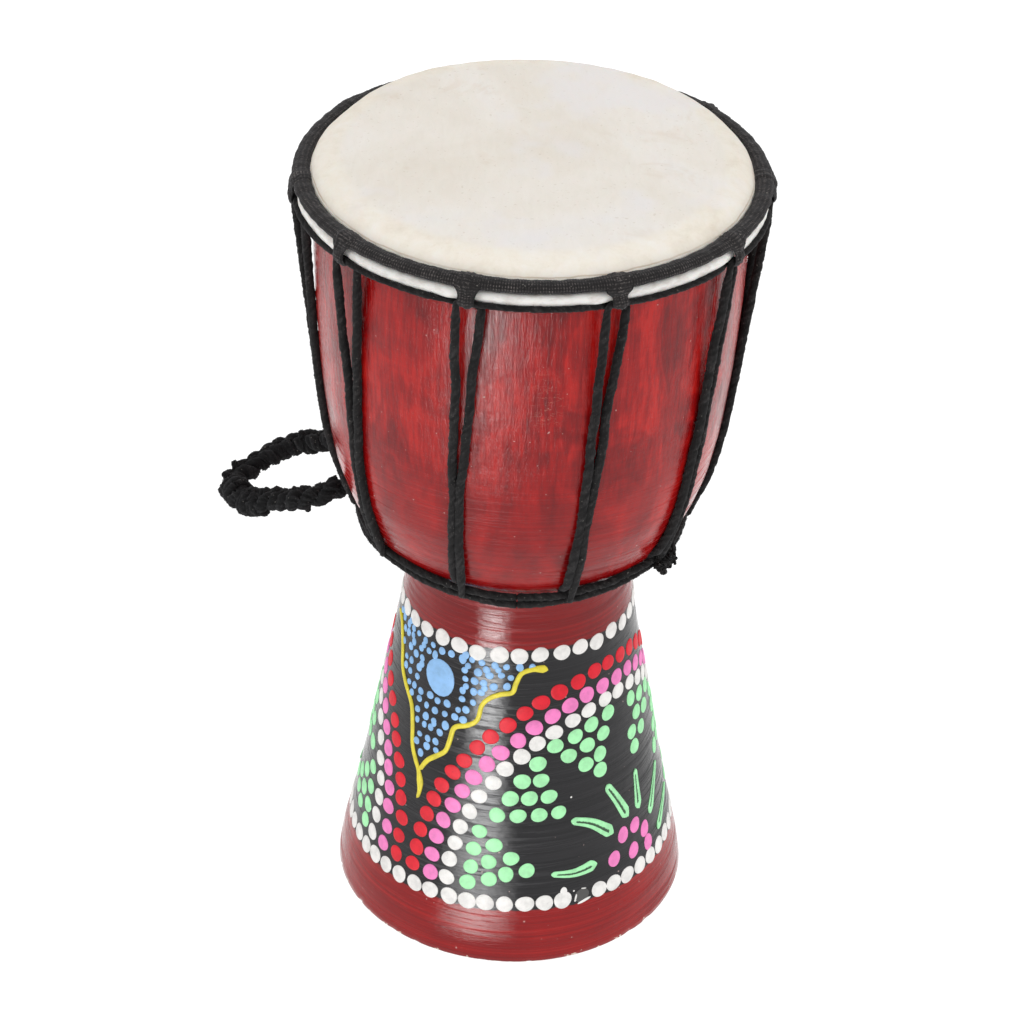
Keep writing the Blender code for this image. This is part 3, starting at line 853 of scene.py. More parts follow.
def build_arches(red, pink):
    for name, material, wide, tall, seed in (
        ("paint_dots_red", red, 86.0, 78.5, 11), ("paint_dots_pink", pink, 78.5, 71.0, 12),
    ):
        shape = Shape()
        add_arch(shape, wide, tall, seed)
        if material is pink:
            source = random.Random(21)
            for turn in HALF_TURNS:
                for angle, height in FLOWER_DABS:
                    dab(shape, angle + turn, height, 5.6, 6.7, source, lean=-12)
        shape.finish(name, material, "lacquered_wood")


def build_green(material):
    dots, rays = Shape(), Shape()
    source = random.Random(5)
    for turn in HALF_TURNS:
        for side in (1, -1):
            for angle, height in GREEN_DABS:
                if side < 0 and 40.0 < angle < 47.0:
                    continue
                at = ARCH_ANGLE + side * (angle - ARCH_ANGLE) + turn + source.uniform(-0.4, 0.4)
                dab(dots, at, height, 6.3 * source.uniform(0.9, 1.05),
                    6.1 * source.uniform(0.92, 1.05), source)
        for (a0, z0), (a1, z1), thin, fat, bend in RAYS:
            middle = ((a0 + a1) / 2 + turn, (z0 + z1) / 2 + bend)
            points = ((a0 + turn, z0), middle, (a1 + turn, z1))
            widths = (thin, (thin + fat) / 2.1, fat)
            stroke(rays, points, widths, 0.5, groove=0.9, groove_at=-0.1)
    dots.finish("paint_dots_green", material, "lacquered_wood")
    rays.finish("paint_rays_green", material, "lacquered_wood")


def build_yellow(material):
    shape = Shape()
    for turn in HALF_TURNS:
        for line, start, end in ((YELLOW_LEFT, 1.5, 1.3), (YELLOW_RIGHT, 1.8, 3.4)):
            points = [(angle + turn, height) for angle, height in line]
            source = random.Random(len(line))
            widths = [1.9 + source.uniform(-0.15, 0.15) for _ in line]
            widths[0], widths[-1] = start, end
            if line is YELLOW_LEFT:
                widths[-3] = 3.0
            else:
                widths[-2] = 2.9
            stroke(shape, points, widths, 0.62)
    shape.finish("paint_line_yellow", material, "lacquered_wood")


def build_blue(material):
    """A big oval, and small dabs that fill the field between the yellow lines."""
    shape = Shape()
    source = random.Random(17)
    left = np.array(YELLOW_LEFT[:11])[::-1]
    right = np.array(YELLOW_RIGHT)
    for turn in HALF_TURNS:
        dab(shape, BLUE_OVAL[0] + turn, BLUE_OVAL[1], 13.2, 14.6, source, lift=0.45)
        dab(shape, BLUE_OVAL[0] - 4.5 + turn, BLUE_OVAL[1] + 7.6, 2.6, 3.6, source, lift=0.4)
        height = BLUE_TOP_Z
        row = 0
        while height > BLUE_BOTTOM_Z:
            scale = math.radians(shell_radius(height))
            start = np.interp(height, left[:, 1], left[:, 0]) + 2.3 / scale
            stop = np.interp(height, right[:, 1], right[:, 0]) - 2.2 / scale
            angle = start + (row % 2) * 1.2 / scale
            while angle < stop:
                at = angle + source.uniform(-0.55, 0.55) / scale
                z = height + source.uniform(-0.6, 0.6)
                size = source.uniform(2.3, 3.2)
                away = math.hypot((at - BLUE_OVAL[0]) * scale / 8.5, (z - BLUE_OVAL[1]) / 9.0)
                if away > 1 and z < 121.2:
                    dab(shape, at + turn, z, size, size * source.uniform(0.95, 1.2), source, lift=0.3)
                    if source.random() < 0.16:
                        dab(shape, at + turn + source.choice((-1.6, 1.4)), z + 2.0, size * 0.9, size,
                            source, lift=0.3)
                angle += source.uniform(3.6, 4.7) / scale
            height -= BLUE_ROW_STEP
            row += 1
    shape.finish("paint_dots_blue", material, "lacquered_wood")


# ---------------------------------------------------------------------------------------------
# Head
# ---------------------------------------------------------------------------------------------

HITCH_ANGLES = (-14, 21, 57, 90, 130, 165, 202, 236, 278, 311)
SKIN_THICKNESS = 0.7
ROLL_CENTRE = (78.2, 292.0)
ROLL_HALF_WIDTH = 1.45
ROLL_HALF_HEIGHT = 1.95

# The skin's middle line from its centre to the fold, at the front and sides, and at the back.
SKIN_FRONT = (
    (0.4, 303.05), (20.0, 303.05), (40.0, 303.05), (54.0, 303.05), (62.0, 303.0), (66.0, 302.7),
    (69.0, 301.95), (71.2, 301.0), (72.8, 299.95), (73.9, 298.8), (74.5, 297.6), (74.6, 296.2),
    (74.5, 293.8), (74.45, 291.6), (74.7, 290.6), (75.4, 290.2), (76.4, 290.0),
)
SKIN_BACK = (
    (0.4, 303.05), (20.0, 303.05), (40.0, 303.05), (56.0, 303.05), (64.0, 303.05), (68.6, 303.0),
    (70.4, 302.9), (71.6, 302.6), (72.8, 301.9), (73.6, 300.8), (74.0, 299.2), (74.05, 296.2),
    (74.05, 293.8), (74.05, 291.6), (74.6, 290.6), (75.4, 290.2), (76.4, 290.0),
)
SKIN_EDGE_POINT = 10            # index of the point where the cloth meets the skin
SKIN_STEPS = 3                  # points made for each span of those lines
HEAD_SEGMENTS = 400


def thickened(line, thickness):
    """An outline: along the line's right side and back along its left, this far apart."""
    way = unit(np.gradient(line, axis=0))
    right = np.stack([way[:, 1], -way[:, 0]], -1) * thickness / 2
    return np.concatenate([line + right, (line - right)[::-1]])


def build_head(material):
    """Skin stretched over the rim, whose edge is folded up round the flesh ring.

    The shade of each point is its distance in from the cloth, in units of 12 mm.
    """
    turn = np.radians(np.linspace(-84, 185, 22))
    roll = np.array(ROLL_CENTRE) + np.stack([
        ROLL_HALF_WIDTH * np.cos(turn), ROLL_HALF_HEIGHT * np.sin(turn),
    ], -1)
    outlines = []
    for points in (SKIN_FRONT, SKIN_BACK):
        line = np.concatenate([smooth(points, SKIN_STEPS), roll])
        outlines.append(thickened(line, SKIN_THICKNESS))
    along = lengths(line)
    inward = climb(along, along[SKIN_EDGE_POINT * SKIN_STEPS], -12.0)
    shade = np.concatenate([inward, inward[::-1]])[:, None]
    angles = np.arange(HEAD_SEGMENTS) * (360 / HEAD_SEGMENTS)
    turn = np.radians(angles)[None, :]
    # 0 where the front's line holds, 1 at the back.
    behind = climb(-np.cos(turn), 0.35, 0.5)
    behind = behind * behind * (3 - 2 * behind)
    front, back = (outline[:, None, :] for outline in outlines)
    radius, height = np.moveaxis(front + (back - front) * behind[..., None], -1, 0).copy()
    top = climb(height, 296.0, 4.0)
    # The head sits a little high at the back, and the skin is slack in places.
    height += top * (0.3 - 0.65 * np.cos(turn) * radius / 75)
    inner = climb(radius, 0.0, 70.0)
    height += top * (
        -0.08 * (1 - inner ** 2) + 0.05 * inner * np.sin(3 * turn + radius / 17)
        + 0.05 * inner ** 4 * np.sin(23 * turn + 2 * np.sin(5 * turn))
        + 0.04 * inner ** 4 * np.sin(41 * turn + 3 * np.sin(7 * turn))
    )
    rim = climb(radius, 69.0, 2.0) * climb(height, 296, 2)
    radius += rim * (
        0.14 * np.sin(7 * turn + 0.7) + 0.10 * np.sin(17 * turn + 2.0) + 0.05 * np.sin(53 * turn)
    )
    # The fold is ruffled, and drawn in and up at each hitch.
    fold = climb(height, 295.5, -1.0) * climb(radius, 75.0, 1.5)
    pull = np.exp(-((gap_round(angles, HITCH_ANGLES) / 3.4) ** 2))[None, :]
    ruffle = 0.06 * np.sin(71 * turn + 3 * np.sin(9 * turn)) + 0.10 * np.sin(19 * turn + 1.0)
    radius += fold * (ruffle - 0.5 * pull)
    height += fold * (0.8 * pull * climb(height, 292, -2.0) + 0.08 * np.sin(31 * turn))
    shape = Shape()
    rings = around(radius, angles[None, :], height)
    shape.tube(rings, shade)
    shape.finish("skin_head", material, "goatskin", ["drum_head"])


# ---------------------------------------------------------------------------------------------
# Crown ring cloth, and the hitches that hold the lacing to it
# ---------------------------------------------------------------------------------------------

RING_RADIUS = 78.2
CROWN_Z = 296.9
CLOTH_RADIUS = 78.0             # middle of the cloth, which is wider than it is tall
CLOTH_HALF_WIDTH = 3.05
CLOTH_HALF_HEIGHT = 1.9
WEAVE_ROUND = 545               # cells of the weave round the ring
WEAVE_OVER = 12                 # cells of the weave over the ring
WEAVE_HEIGHT = 0.13


def weave(first, second):
    """Height of a woven cell, from 0 to 1, where both are counted in cells."""
    return (0.5 + 0.5 * np.cos(TAU * first)) * (0.35 + 0.65 * (0.5 + 0.5 * np.cos(TAU * second)))


def build_crown_cloth(material):
    rows = WEAVE_ROUND * 3
    sides = WEAVE_OVER * 4
    angles = np.arange(rows) * 360 / rows
    turns = np.arange(sides) * TAU / sides
    cell = weave(np.arange(rows)[:, None] / 3, np.arange(sides)[None, :] / 4)
    distance = np.radians(angles)[:, None] * RING_RADIUS
    whole = TAU * RING_RADIUS
    uneven = 0.10 * ripple(distance, 9.0, 3, whole=whole)
    uneven = uneven + 0.08 * ripple(distance + 40 * np.sin(turns)[None, :], 5.0, 5, whole=whole)
    bulge = 0.35 * np.exp(-((gap_round(angles, HITCH_ANGLES) / 5.0) ** 2))[:, None]
    proud = WEAVE_HEIGHT * (cell - 0.5) + uneven + bulge
    radius = CLOTH_RADIUS + (CLOTH_HALF_WIDTH + proud) * np.cos(turns)[None, :]
    height = CROWN_Z + (CLOTH_HALF_HEIGHT + proud) * np.sin(turns)[None, :]
    rings = around(radius, angles[:, None], height)
    shape = Shape()
    # The weave's hollows get a low shade and its crests a high one: painted shade and painted sheen.
    shape.tube(rings[:, ::-1], (0.12 + 0.88 * cell)[:, ::-1], closed=True)
    shape.finish("crown_cloth", material, "woven_cloth", ["crown_ring_wrap"])


HITCH_LINE = (
    # radius, height, half width: from the tuck behind the ring, over it, and under the lacing
    (75.6, 294.3, 2.4), (74.9, 295.6, 3.4), (74.75, 297.0, 4.2), (75.6, 298.15, 4.6),
    (77.2, 298.7, 4.8), (79.0, 298.6, 4.9), (80.5, 297.9, 4.8), (81.3, 296.7, 4.5),
    (81.5, 295.3, 3.9), (81.4, 294.1, 3.2), (81.4, 293.1, 2.7), (81.7, 292.1, 2.6),
    (81.9, 291.0, 2.9), (81.5, 289.8, 2.9), (80.0, 289.0, 2.5), (77.4, 288.7, 2.2),
    (75.5, 289.0, 2.0), (75.0, 290.0, 1.5),
)


def build_hitch(name, angle, node, material, seed):
    """Cloth bunched over the ring, drawn together below it, and carried under the lacing."""
    source = random.Random(seed)
    line = spaced(smooth(HITCH_LINE, 6), 0.42)
    place, half = line[:, :2], line[:, 2].copy()
    along = lengths(place)
    half *= 1 + 0.10 * ripple(along, 6.0, seed)
    way = unit(np.gradient(place, axis=0))
    out = np.stack([-way[:, 1], way[:, 0]], -1)
    sides = 44
    turns = np.arange(sides) * TAU / sides
    across = np.sign(np.cos(turns)) * np.abs(np.cos(turns)) ** 0.9
    # The cloth is thick in the middle and thin at its edges, so it lies down on the ring.
    thick = np.sign(np.sin(turns)) * (1 - np.abs(across) ** 2.2)
    offset = half[:, None] * across[None, :]
    outer = np.clip(np.sign(thick), 0, 1)[None, :] * (1 - np.abs(across) ** 4)[None, :]
    fat = np.interp(along, (0, 4, 10, 14, 17, 20, along[-1]), (0.4, 0.55, 0.75, 0.95, 0.8, 1.0, 0.7))
    lift = fat[:, None] * thick[None, :]
    # Folds that run down the cloth and draw together where it is gathered, and lumps in it.
    share = along[:, None] / along[-1]
    squeeze = half[:, None] / 4.9
    for fold in range(4):
        centre = (fold - 1.5) * 2.0 * squeeze + source.uniform(-0.5, 0.5)
        centre = centre + 0.5 * np.sin(share * source.uniform(5, 11) + source.uniform(0, TAU))
        lift += outer * 0.34 * np.exp(-(((offset - centre) / (0.62 * squeeze)) ** 2))
    lump = ripple(along, 4.2, seed + 4)[:, None] * np.cos(turns * 2 + source.uniform(0, TAU))[None, :]
    lift += outer * (0.22 * lump - 0.2)
    cell = weave(along[:, None] / 1.0, offset / 0.95)
    lift += WEAVE_HEIGHT * (cell - 0.5) * outer
    sideways = source.uniform(-0.4, 0.4) + 0.45 * ripple(along, 12.0, seed + 2)
    radius = place[:, 0][:, None] + out[:, 0][:, None] * lift
    height = place[:, 1][:, None] + out[:, 1][:, None] * lift
    turn = angle + np.degrees((offset + sideways[:, None]) / radius)
    rings = around(radius, turn, height)
    shape = Shape()
    # Low shade in the weave's hollows and on the cloth's underside and edges: painted shade. High shade
    # on the crests: painted sheen.
    shape.tube(rings, (0.15 + 0.85 * cell) * (0.55 + 0.45 * outer))
    roots, ways = scatter(rings, 60, seed)
    shape.hairs(roots, ways, 0.8, 0.045, seed)
    shape.finish(name, material, "woven_cloth", [node])


# ---------------------------------------------------------------------------------------------
# Lacing and waist cords
# ---------------------------------------------------------------------------------------------

GAP = 0.3
CORD_RADIUS = 1.3
RUN_OUTER = (80.4, 290.1)       # radius and height of the level pass between hitches
RUN_INNER = (77.6, 288.5)       # and of the pass that tucks in under it at the next hitch
LEG_TOP = 3.85
LEG_FOOT = 1.25
LEG_JOIN = 0.62                 # share of the way down at which the two legs of a pair meet
CORNER = 2.3
WAIST_RADIUS = 58.7
WAIST_UPPER_Z = 164.9
WAIST_LOWER_Z = WAIST_UPPER_Z - 2 * CORD_RADIUS - GAP
WAIST_MID_Z = (WAIST_UPPER_Z + WAIST_LOWER_Z) / 2
FOOT_TURNS = (-5.8,) + 9 * (-4.6,)  # degrees that each pair of legs moves round on its way down
KNOT_STATION = 2
KNOT_TURN = 7.0
TUFT_STRANDS = 64
LEG_HEIGHTS = (285.0, 262.0, 238.0, 214.0, 197.0, 185.0, 176.5, 170.3)
FRONT_BOTTOM = (60.8, 164.9)
BACK_BOTTOM = (57.4, 166.4)
FOOT_REACH = 1.9                # how far the rope stands off the lower waist cord as it turns
WAIST_ROPE_RADIUS = 1.42
ROPE_RADIUS = 1.60              # the rope's ridges stand a little proud of its nominal size


def waist_sag(angle):
    """How far the waist cords hang below level there. They are lowest at the front."""
    return 2.8 * np.exp(-((gap_round(angle, (0,)) / 32) ** 2))


def settled(angle, height):
    """The height of a point on the lacing once the waist cords have sagged."""
    return height - waist_sag(angle) * climb(height, 192, -22)


def taut(points):
    """The part of the points that a tight cord touches: their outer hull, from top to bottom."""
    hull = []
    for point in points:
        while len(hull) > 1:
            (r0, z0), (r1, z1) = hull[-2:]
            if (r1 - r0) * (point[1] - z0) < (point[0] - r0) * (z1 - z0):
                break
            hull.pop()
        hull.append(point)
    return hull


def bowl_line(top, bottom):
    """How far out a leg lies at each height: tight over the bowl, from the run to `bottom`."""
    bowl = np.array(SHELL_OUTSIDE[BOWL_START:], float)
    way = unit(np.gradient(bowl, axis=0))
    surface = bowl + np.stack([way[:, 1], -way[:, 0]], -1) * (CORD_RADIUS + GAP)
    start = top[1] - CORNER
    touching = [tuple(p) for p in surface[::-1] if bottom[1] + 1 < p[1] < start - 2 * CORNER]
    return np.array(taut([(top[0], start), *touching, bottom]))


def leg(station, side, top, bottom):
    """Points down one leg of a station's pair. Side is -1 for the left leg, 1 for the right."""
    line = bowl_line(top, bottom)[::-1]
    height = np.array((*LEG_HEIGHTS, bottom[1]))
    radius = np.interp(height, line[:, 1], line[:, 0])
    down = (LEG_HEIGHTS[0] - height) / (LEG_HEIGHTS[0] - bottom[1])
    joined = np.clip(down / LEG_JOIN, 0, 1) ** 0.9
    apart = side * (LEG_TOP + (LEG_FOOT - LEG_TOP) * joined)
    angle = HITCH_ANGLES[station] + FOOT_TURNS[station] * down + np.degrees(apart / radius)
    return around(radius, angle, settled(angle, height))


def corner(station, side, top):
    """Points round the bend between a leg and a level pass, leg end first."""
    turn = np.radians((20, 50, 90))
    across = side * (LEG_TOP - CORNER * (1 - np.cos(turn)))
    height = top[1] - CORNER + CORNER * np.sin(turn)
    return around(top[0], HITCH_ANGLES[station] + np.degrees(across / top[0]), height)


def foot_turn(station):
    """Points that carry the right leg in between the waist cords and up behind them."""
    turn = np.radians(np.linspace(0, -180, 6))
    radius = WAIST_RADIUS + FOOT_REACH * np.cos(turn)
    across = LEG_FOOT * (1 - 2 * np.arange(6) / 5)
    angle = HITCH_ANGLES[station] + FOOT_TURNS[station] + np.degrees(across / radius)
    height = WAIST_MID_Z + 0.3 + 0.45 * FOOT_REACH * np.sin(turn)
    return around(radius, angle, settled(angle, height))


def level_run(station):
    """Points of the run from one hitch to the next, moving in from the outer to the inner pass."""
    here = HITCH_ANGLES[station]
    span = (HITCH_ANGLES[(station + 1) % len(HITCH_ANGLES)] - here) % 360
    share = np.array((0.2, 0.4, 0.6, 0.78, 0.9))
    inward = np.array((0.0, 0.0, 0.0, 0.15, 0.8))
    radius, height = (
        outer + (inner - outer) * inward for outer, inner in zip(RUN_OUTER, RUN_INNER)
    )
    return around(radius, here + span * share, height)


def lacing_path():
    """The lacing is one rope that starts and ends at the knot."""
    knot_foot = HITCH_ANGLES[KNOT_STATION] + FOOT_TURNS[KNOT_STATION]
    parts = [
        around(BACK_BOTTOM[0], knot_foot + np.array((2.6, 0.6)), WAIST_MID_Z),
        leg(KNOT_STATION, -1, RUN_OUTER, BACK_BOTTOM)[::-1],
        corner(KNOT_STATION, -1, RUN_OUTER), level_run(KNOT_STATION),
    ]
    count = len(HITCH_ANGLES)
    for step in range(1, count):
        station = (KNOT_STATION + step) % count
        parts += [
            corner(station, 1, RUN_INNER)[::-1], leg(station, 1, RUN_INNER, FRONT_BOTTOM),
            foot_turn(station), leg(station, -1, RUN_OUTER, BACK_BOTTOM)[::-1],
            corner(station, -1, RUN_OUTER), level_run(station),
        ]
    parts += [
        corner(KNOT_STATION, 1, RUN_INNER)[::-1], leg(KNOT_STATION, 1, RUN_INNER, FRONT_BOTTOM),
        around(FRONT_BOTTOM[0], knot_foot + 2.6, WAIST_MID_Z)[None],
    ]
    return np.concatenate(parts)


def build_lacing(material):
    path = spaced(smooth(lacing_path(), 8), 0.7)
    along = lengths(path)
    # Hand-pulled rope is never quite straight.
    middle = climb(path[:, 2], 172, 20) * climb(path[:, 2], 283, -20)
    level = unit(np.stack([-path[:, 1], path[:, 0], np.zeros(len(path))], -1))
    path = path + level * (middle * 0.30 * ripple(along, 38.0, 5))[:, None]

    def thickness(points):
        """The rope is squeezed where it runs level at the top and where it turns at the foot."""
        height = points[:, 2]
        squeezed = climb(height, 283, 5) + climb(height, 170, -6)
        return ROPE_RADIUS * (1 - 0.30 * np.clip(squeezed, 0, 1))

    shape = Shape()
    add_rope(shape, path, thickness, lay=12.5, seed=8, hairs=2.0, step=0.72, lumps=0.055)
    shape.finish("lacing_rope", material, "rope", ["lacing"])


def build_waist_cords(material):
    """Two turns of rope that sag apart between the stations and are squeezed together at each."""
    angles = np.arange(0, 360, 0.6)
    feet = [hitch + turn for hitch, turn in zip(HITCH_ANGLES, FOOT_TURNS)]
    grip = np.exp(-((gap_round(angles, feet) / 4.5) ** 2))
    for name, node, height, side, seed in (
        ("waist_rope_upper", "waist_cord_upper", WAIST_UPPER_Z + 0.40, 1, 31),
        ("waist_rope_lower", "waist_cord_lower", WAIST_LOWER_Z + 0.12, -1, 37),
    ):
        drift = 0.2 * ripple(angles, 31.0, seed, whole=360)
        apart = 0.5 - 0.12 * waist_sag(angles) + 0.15 * grip
        z = settled(angles, height - side * apart + drift)
        radius = WAIST_RADIUS + 0.1 * grip + 0.2 * ripple(angles, 24.0, seed + 1, whole=360)
        shape = Shape()
        add_rope(shape, around(radius, angles, z), WAIST_ROPE_RADIUS, lay=14.0, closed=True,
                 seed=seed, hairs=6.0, step=0.6, depth=0.10, lumps=0.065)
        shape.finish(name, material, "rope", [node])


def build_end_knot(material):
    """The rope's two ends, knotted round the waist cords and frayed into a curly tuft."""
    source = random.Random(77)
    shape = Shape()
    angle = HITCH_ANGLES[KNOT_STATION] + FOOT_TURNS[KNOT_STATION] + KNOT_TURN
    reach = 2 * CORD_RADIUS + GAP
    for step, shift in enumerate((-2.7, 0.0, 2.7)):
        turn = np.linspace(-0.42 * np.pi, 1.42 * np.pi, 30)
        stretch = np.clip(np.abs(np.sin(turn)), 0, 1) * np.sign(np.sin(turn)) * 1.45
        radius = WAIST_RADIUS + reach * np.cos(turn) * 1.0
        height = WAIST_MID_Z + reach * np.sin(turn) + stretch
        across = shift + 1.2 * np.linspace(-1, 1, 30)
        path = around(radius, angle + np.degrees(across / WAIST_RADIUS), height)
        add_rope(shape, path, 1.25, lay=9.0, seed=80 + step, hairs=4.0, step=0.6)
    centre = around(63.4, angle - 3.6, 164.1)
    out = unit(around(1.0, angle + 20, 0.0))
    round_way = unit(around(1.0, angle + 90, 0.0))
    up = np.array([0.0, 0.0, 1.0])
    for _ in range(TUFT_STRANDS):
        point = around(61.6, angle + source.uniform(-7.0, 1.0), source.uniform(161.0, 165.0))
        wide = source.uniform(-5.6, 3.8)
        high = source.uniform(-2.1, 2.3) - 0.12 * abs(wide)
        goal = centre + round_way * wide + up * high + out * source.uniform(-1.8, 1.2)
        curl = source.uniform(0.6, 1.1)
        spin = source.uniform(1.5, 3.0) * TAU
        t = np.linspace(0, 1, 24)[:, None]
        line = point + (goal - point) * t
        one = unit(np.cross(goal - point, up) + 1e-6)
        two = unit(np.cross(goal - point, one))
        start = source.uniform(0, TAU)
        turn = spin * t + start
        line = line + curl * t ** 0.5 * (one * np.cos(turn) + two * np.sin(turn))
        add_rope(shape, line, source.uniform(0.42, 0.60), lay=3.0, plies=2, depth=0.2,
                 seed=source.randrange(999), hairs=1.5, hair_reach=0.6, step=0.5)
    shape.finish("end_knot_tuft", material, "rope", ["lacing_end_knot"])


# ---------------------------------------------------------------------------------------------
# Carry handle
# ---------------------------------------------------------------------------------------------

HANDLE_TIE_ANGLES = (-97, -118)
TIE_RADIUS = 63.5
HANDLE_DROOP = -21.0            # degrees that the loop's plane is turned about the hinge line
# Points of the loop in that plane: how far along the hinge line, and how far out from it.
HANDLE_ROUTE = (
    (-11.6, 3.6), (-14.8, 4.6), (-17.6, 8.2), (-18.8, 14.0), (-18.3, 22.0), (-17.0, 30.0),
    (-15.4, 38.0), (-11.6, 46.0), (-4.8, 52.3), (4.5, 54.2), (12.0, 51.2), (18.3, 46.6),
    (23.4, 40.8), (25.3, 33.0), (24.4, 22.5), (19.0, 13.0), (13.2, 8.0), (11.6, 4.4),
)
BRAID_KNOTS = ((0.30, -1.4, 0.0), (0.41, 0.2, 1.2))  # share along it, and shifts across and in
BRAID_ENDS = ((0.12, -0.8), (0.36, -0.9), (0.47, 0.9), (0.52, 0.6), (0.74, 0.8), (0.83, 1.0))
STRAND_RADIUS = 2.55
BRAID_SWING = 2.55
BRAID_DEPTH = 1.3
BRAID_PERIOD = 16.5


def handle_axes():
    """The middle of the hinge line, and the handle's axes: along it, outwards, and across."""
    front, back = (Vector(around(TIE_RADIUS, angle, WAIST_MID_Z)) for angle in HANDLE_TIE_ANGLES)
    along = (back - front).normalized()
    level = Vector((0, 0, 1)).cross(along)
    out = Matrix.Rotation(math.radians(HANDLE_DROOP), 3, along) @ level
    return (front + back) / 2, along, out


def build_handle(material):
    """Three soft strands plaited round the route, with two lumpy knots along it and strand ends that
    poke out.
    """
    middle, along, out = handle_axes()
    middle, along, out = np.array(middle), np.array(along), np.array(out)
    route = smooth(HANDLE_ROUTE, 8)
    path = spaced(middle + route[:, :1] * along + route[:, 1:] * out, 0.5)
    distance = lengths(path)
    across = np.cross(along, out)
    way, side, other = frames(path, first=across)
    shape = Shape()
    for strand in range(3):
        phase = TAU * (distance / BRAID_PERIOD + strand / 3) + 0.7 * ripple(distance, 26.0, 95)
        swing = BRAID_SWING * (1 + 0.16 * ripple(distance, 20.0, 90 + strand))
        line = path + other * (swing * np.sin(phase))[:, None]
        line = line + side * (BRAID_DEPTH * np.sin(2 * phase))[:, None]
        add_rope(shape, line, STRAND_RADIUS, lay=10.0, plies=5, depth=0.10, seed=60 + strand,
                 hairs=11.0, hair_reach=0.8, step=0.45, swell=0.12, lumps=0.085)
    for share, drop, inward in BRAID_KNOTS:
        at = int(share * len(path))
        centre = path[at] + side[at] * drop + (path.mean(0) - path[at]) / 25.0 * inward
        add_braid_knot(shape, centre, (way[at], side[at], other[at]), seed=at)
    add_strand_ends(shape, path, way, side, other)
    braid = shape.finish("carry_braid", material, "braid", ["carry_handle"], body="handle")


def add_braid_knot(shape, centre, axes, seed):
    """A lumpy knot: loops of strand that cross over each other round the braid."""
    way, side, other = axes
    source = random.Random(seed)
    for turn in range(4):
        t = np.linspace(0, TAU, 40, endpoint=False)
        lean = source.uniform(-0.6, 0.6)
        reach = source.uniform(3.1, 3.8)
        shift = (turn - 1.5) * 2.1
        wave = shift + lean * 2.8 * np.cos(t + source.uniform(0, TAU)) + 0.5 * np.sin(3 * t)
        loop = centre + way * wave[:, None]
        loop = loop + reach * (side * np.cos(t)[:, None] + other * np.sin(t)[:, None] * 1.12)
        add_rope(shape, loop, source.uniform(1.7, 2.1), lay=10.0, plies=4, depth=0.09, closed=True,
                 seed=seed + turn, hairs=9.0, step=0.5, swell=0.09, lumps=0.08)


def add_strand_ends(shape, path, way, side, other):
    """Ends of strands that poke out of the plait."""
    source = random.Random(12)
    for share, lean in BRAID_ENDS:
        at = int(share * len(path))
        out = unit(side[at] * lean + other[at] * source.uniform(-0.5, 0.5))
        root = path[at] + out * 2.6
        tip = path[at] + out * 5.8 + way[at] * source.uniform(-1.0, 1.0)
        nub = root + (tip - root) * np.linspace(0, 1, 6)[:, None]
        add_rope(shape, nub, lambda line: 1.9 * np.sqrt(np.linspace(1, 0.2, len(line))), lay=6.0,
                 plies=4, seed=at, hairs=10.0, step=0.4, lumps=0.08)


def build_ties(material):
    """Turns of rope round both waist cords, and a knob that the braid hangs from."""
    reach = 2 * CORD_RADIUS + GAP
    for name, node, angle, seed in (
        ("tie_front", "handle_tie_front", HANDLE_TIE_ANGLES[0], 51),
        ("tie_back", "handle_tie_back", HANDLE_TIE_ANGLES[1], 57),
    ):
        shape = Shape()
        turn = np.linspace(0, 3 * TAU, 120)
        rise = 1.45 * np.sin(turn)
        radius = WAIST_RADIUS + (reach + 0.1) * np.cos(turn)
        height = WAIST_MID_Z + (reach - 0.2) * np.sin(turn) + rise
        across = np.linspace(-2.1, 2.1, 120)
        path = around(radius, angle + np.degrees(across / WAIST_RADIUS), height)
        add_rope(shape, path, 1.1, lay=8.0, seed=seed, hairs=4.0, step=0.5)
        knob = around(TIE_RADIUS + 0.2, angle, WAIST_MID_Z)
        axis = unit(around(1.0, angle, 0.0))
        side = unit(around(1.0, angle + 90, 0.0))
        t = np.linspace(0, TAU * 2, 70)
        loop = knob + axis * (1.5 * np.cos(t) + 0.5 * np.sin(2.5 * t))[:, None]
        loop = loop + side * (1.7 * np.sin(t))[:, None]
        loop = loop + np.array([0, 0, 1.0]) * (1.5 * np.cos(1.5 * t))[:, None]
        add_rope(shape, loop, 1.15, lay=8.0, seed=seed + 1, hairs=5.0, step=0.5)
        shape.finish(name, material, "rope", [node])


# ---------------------------------------------------------------------------------------------
# Stage
# ---------------------------------------------------------------------------------------------


FLOOR_REACH = 8.0               # metres
FLOOR_GLOW = 0.96
WORLD_STRENGTH = 0.74
AIM_HEIGHT = 0.2                # where the softboxes point
SOFTBOXES = (
    # name, place, width, height and power in watts
    ("top_softbox", (0.0, 0.1, 1.9), 1.6, 1.6, 7.0),
    ("left_softbox", (-1.5, -0.9, 1.1), 0.9, 1.2, 8.0),
    ("right_softbox", (1.5, -0.9, 1.1), 0.9, 1.2, 9.0),
)
CARD_ANGLE = -20.5              # direction of the low cards from the drum
CARD_COUNT = 11                 # cards of full height
CARD_FIRST = 0.115              # metres from the drum's axis to the first of them
CARD_STEP = 0.05
CARD_TALL = 0.028
HALF_CARD_NEARER = 0.026        # how much nearer the card of half height stands
CARD_TILT = 22.0                # degrees above level that they face
CARD_SPREAD = 50.0              # degrees
CARD_POWER = 0.050              # watts to each metre of width


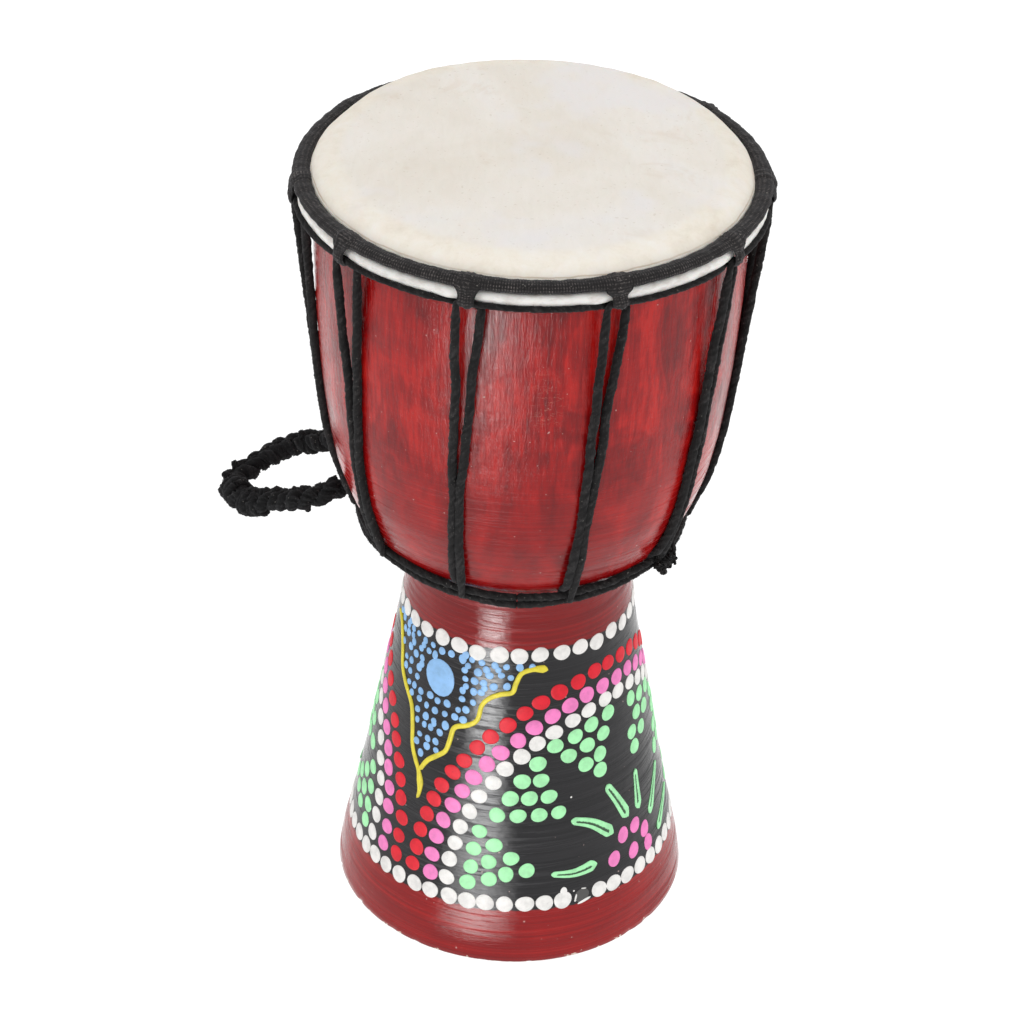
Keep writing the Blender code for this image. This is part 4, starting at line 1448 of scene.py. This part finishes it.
def area_light(name, place, target, wide, tall, power):
    data = bpy.data.lights.new(name, "AREA")
    data.shape = "RECTANGLE"
    data.size = wide
    data.size_y = tall
    data.energy = power
    item = new_object(name, data)
    way = Vector(target) - Vector(place)
    item.matrix_world = Matrix.Translation(place) @ way.to_track_quat("-Z", "Y").to_matrix().to_4x4()
    item.visible_camera = False
    return item


def build_stage():
    n = Nodes("pale_floor", 0.9)
    tone = n.ramp(n.noise(3.0, 2), (0.3, (0.16, 0.16, 0.16)), (0.7, (0.19, 0.19, 0.19)))
    n.set(Base_Color=tone, Emission_Color=(1.0, 1.0, 1.0), Emission_Strength=FLOOR_GLOW)
    mesh = bpy.data.meshes.new("floor")
    corners = [(x * FLOOR_REACH, y * FLOOR_REACH, 0) for x, y in ((-1, -1), (1, -1), (1, 1), (-1, 1))]
    mesh.from_pydata(corners, [], [(0, 1, 2, 3)])
    mesh.materials.append(n.material)
    new_object("floor", mesh)

    world = bpy.data.worlds.new("studio")
    world.use_nodes = True
    background = world.node_tree.nodes["Background"]
    background.inputs[0].default_value = (1.0, 1.0, 1.0, 1.0)
    background.inputs[1].default_value = WORLD_STRENGTH
    bpy.context.scene.world = world
    bpy.context.scene.view_settings.view_transform = "Standard"

    for name, place, wide, tall, power in SOFTBOXES:
        area_light(name, place, (0, 0, AIM_HEIGHT), wide, tall, power)

    # A row of low cards to the left of the camera draws the long highlight down the front. They
    # light only the gloss: diffuse light does not see them.
    # The nearest is half as tall as the others, so that it lights the edge of the foot.
    aim = around(1.0, CARD_ANGLE, 0.0)
    cards = [(CARD_FIRST - HALF_CARD_NEARER, 0.0085, CARD_TALL / 2, 0.8)]
    for step in range(CARD_COUNT):
        cards.append((CARD_FIRST + CARD_STEP * step, 0.018, CARD_TALL, 1.1 + 0.12 * step))
    for number, (away, height, tall, strength) in enumerate(cards):
        place = aim * away + np.array((0, 0, height))
        target = place - aim + np.array((0, 0, math.tan(math.radians(CARD_TILT))))
        wide = 0.085 + 0.16 * away
        power = CARD_POWER * wide * strength
        card = area_light(f"low_card_{number:02d}", place, target, wide, tall, power)
        card.data.spread = math.radians(CARD_SPREAD)
        card.visible_diffuse = False


# ---------------------------------------------------------------------------------------------


def main():
    build_camera()
    braid = fibre_material("black_braid", (0.006, 0.006, 0.0065), (0.026, 0.026, 0.027), 1100,
                           0.9, 0.06)
    rope = fibre_material("black_rope", (0.0065, 0.006, 0.006), (0.036, 0.033, 0.033), (900, 900, 500),
                          0.85, 0.07)
    cloth = fibre_material("black_woven_cloth", (0.019, 0.017, 0.017), (0.165, 0.145, 0.138), 1400,
                           0.85, 0.12, 0.00008)
    build_handle(braid)
    build_stage()
    build_shell(lacquer_material())
    build_head(skin_material())
    build_crown_cloth(cloth)
    for number, angle in enumerate(HITCH_ANGLES, start=1):
        build_hitch(f"hitch_{number:02d}", angle, f"cradle_loop_{number:02d}", cloth, 100 + number)
    build_lacing(rope)
    build_waist_cords(rope)
    build_end_knot(rope)
    build_ties(rope)
    paints = {name: paint_material("paint_" + name, colour) for name, colour in PAINTS.items()}
    build_white_paint(paints["white"])
    build_arches(paints["red"], paints["pink"])
    build_green(paints["green"])
    build_blue(paints["blue"])
    build_yellow(paints["yellow"])
    steel = steel_material()
    for name in ("flesh_ring", "crown_ring"):
        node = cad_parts[name]
        node.data.materials.clear()
        node.data.materials.append(steel)


main()
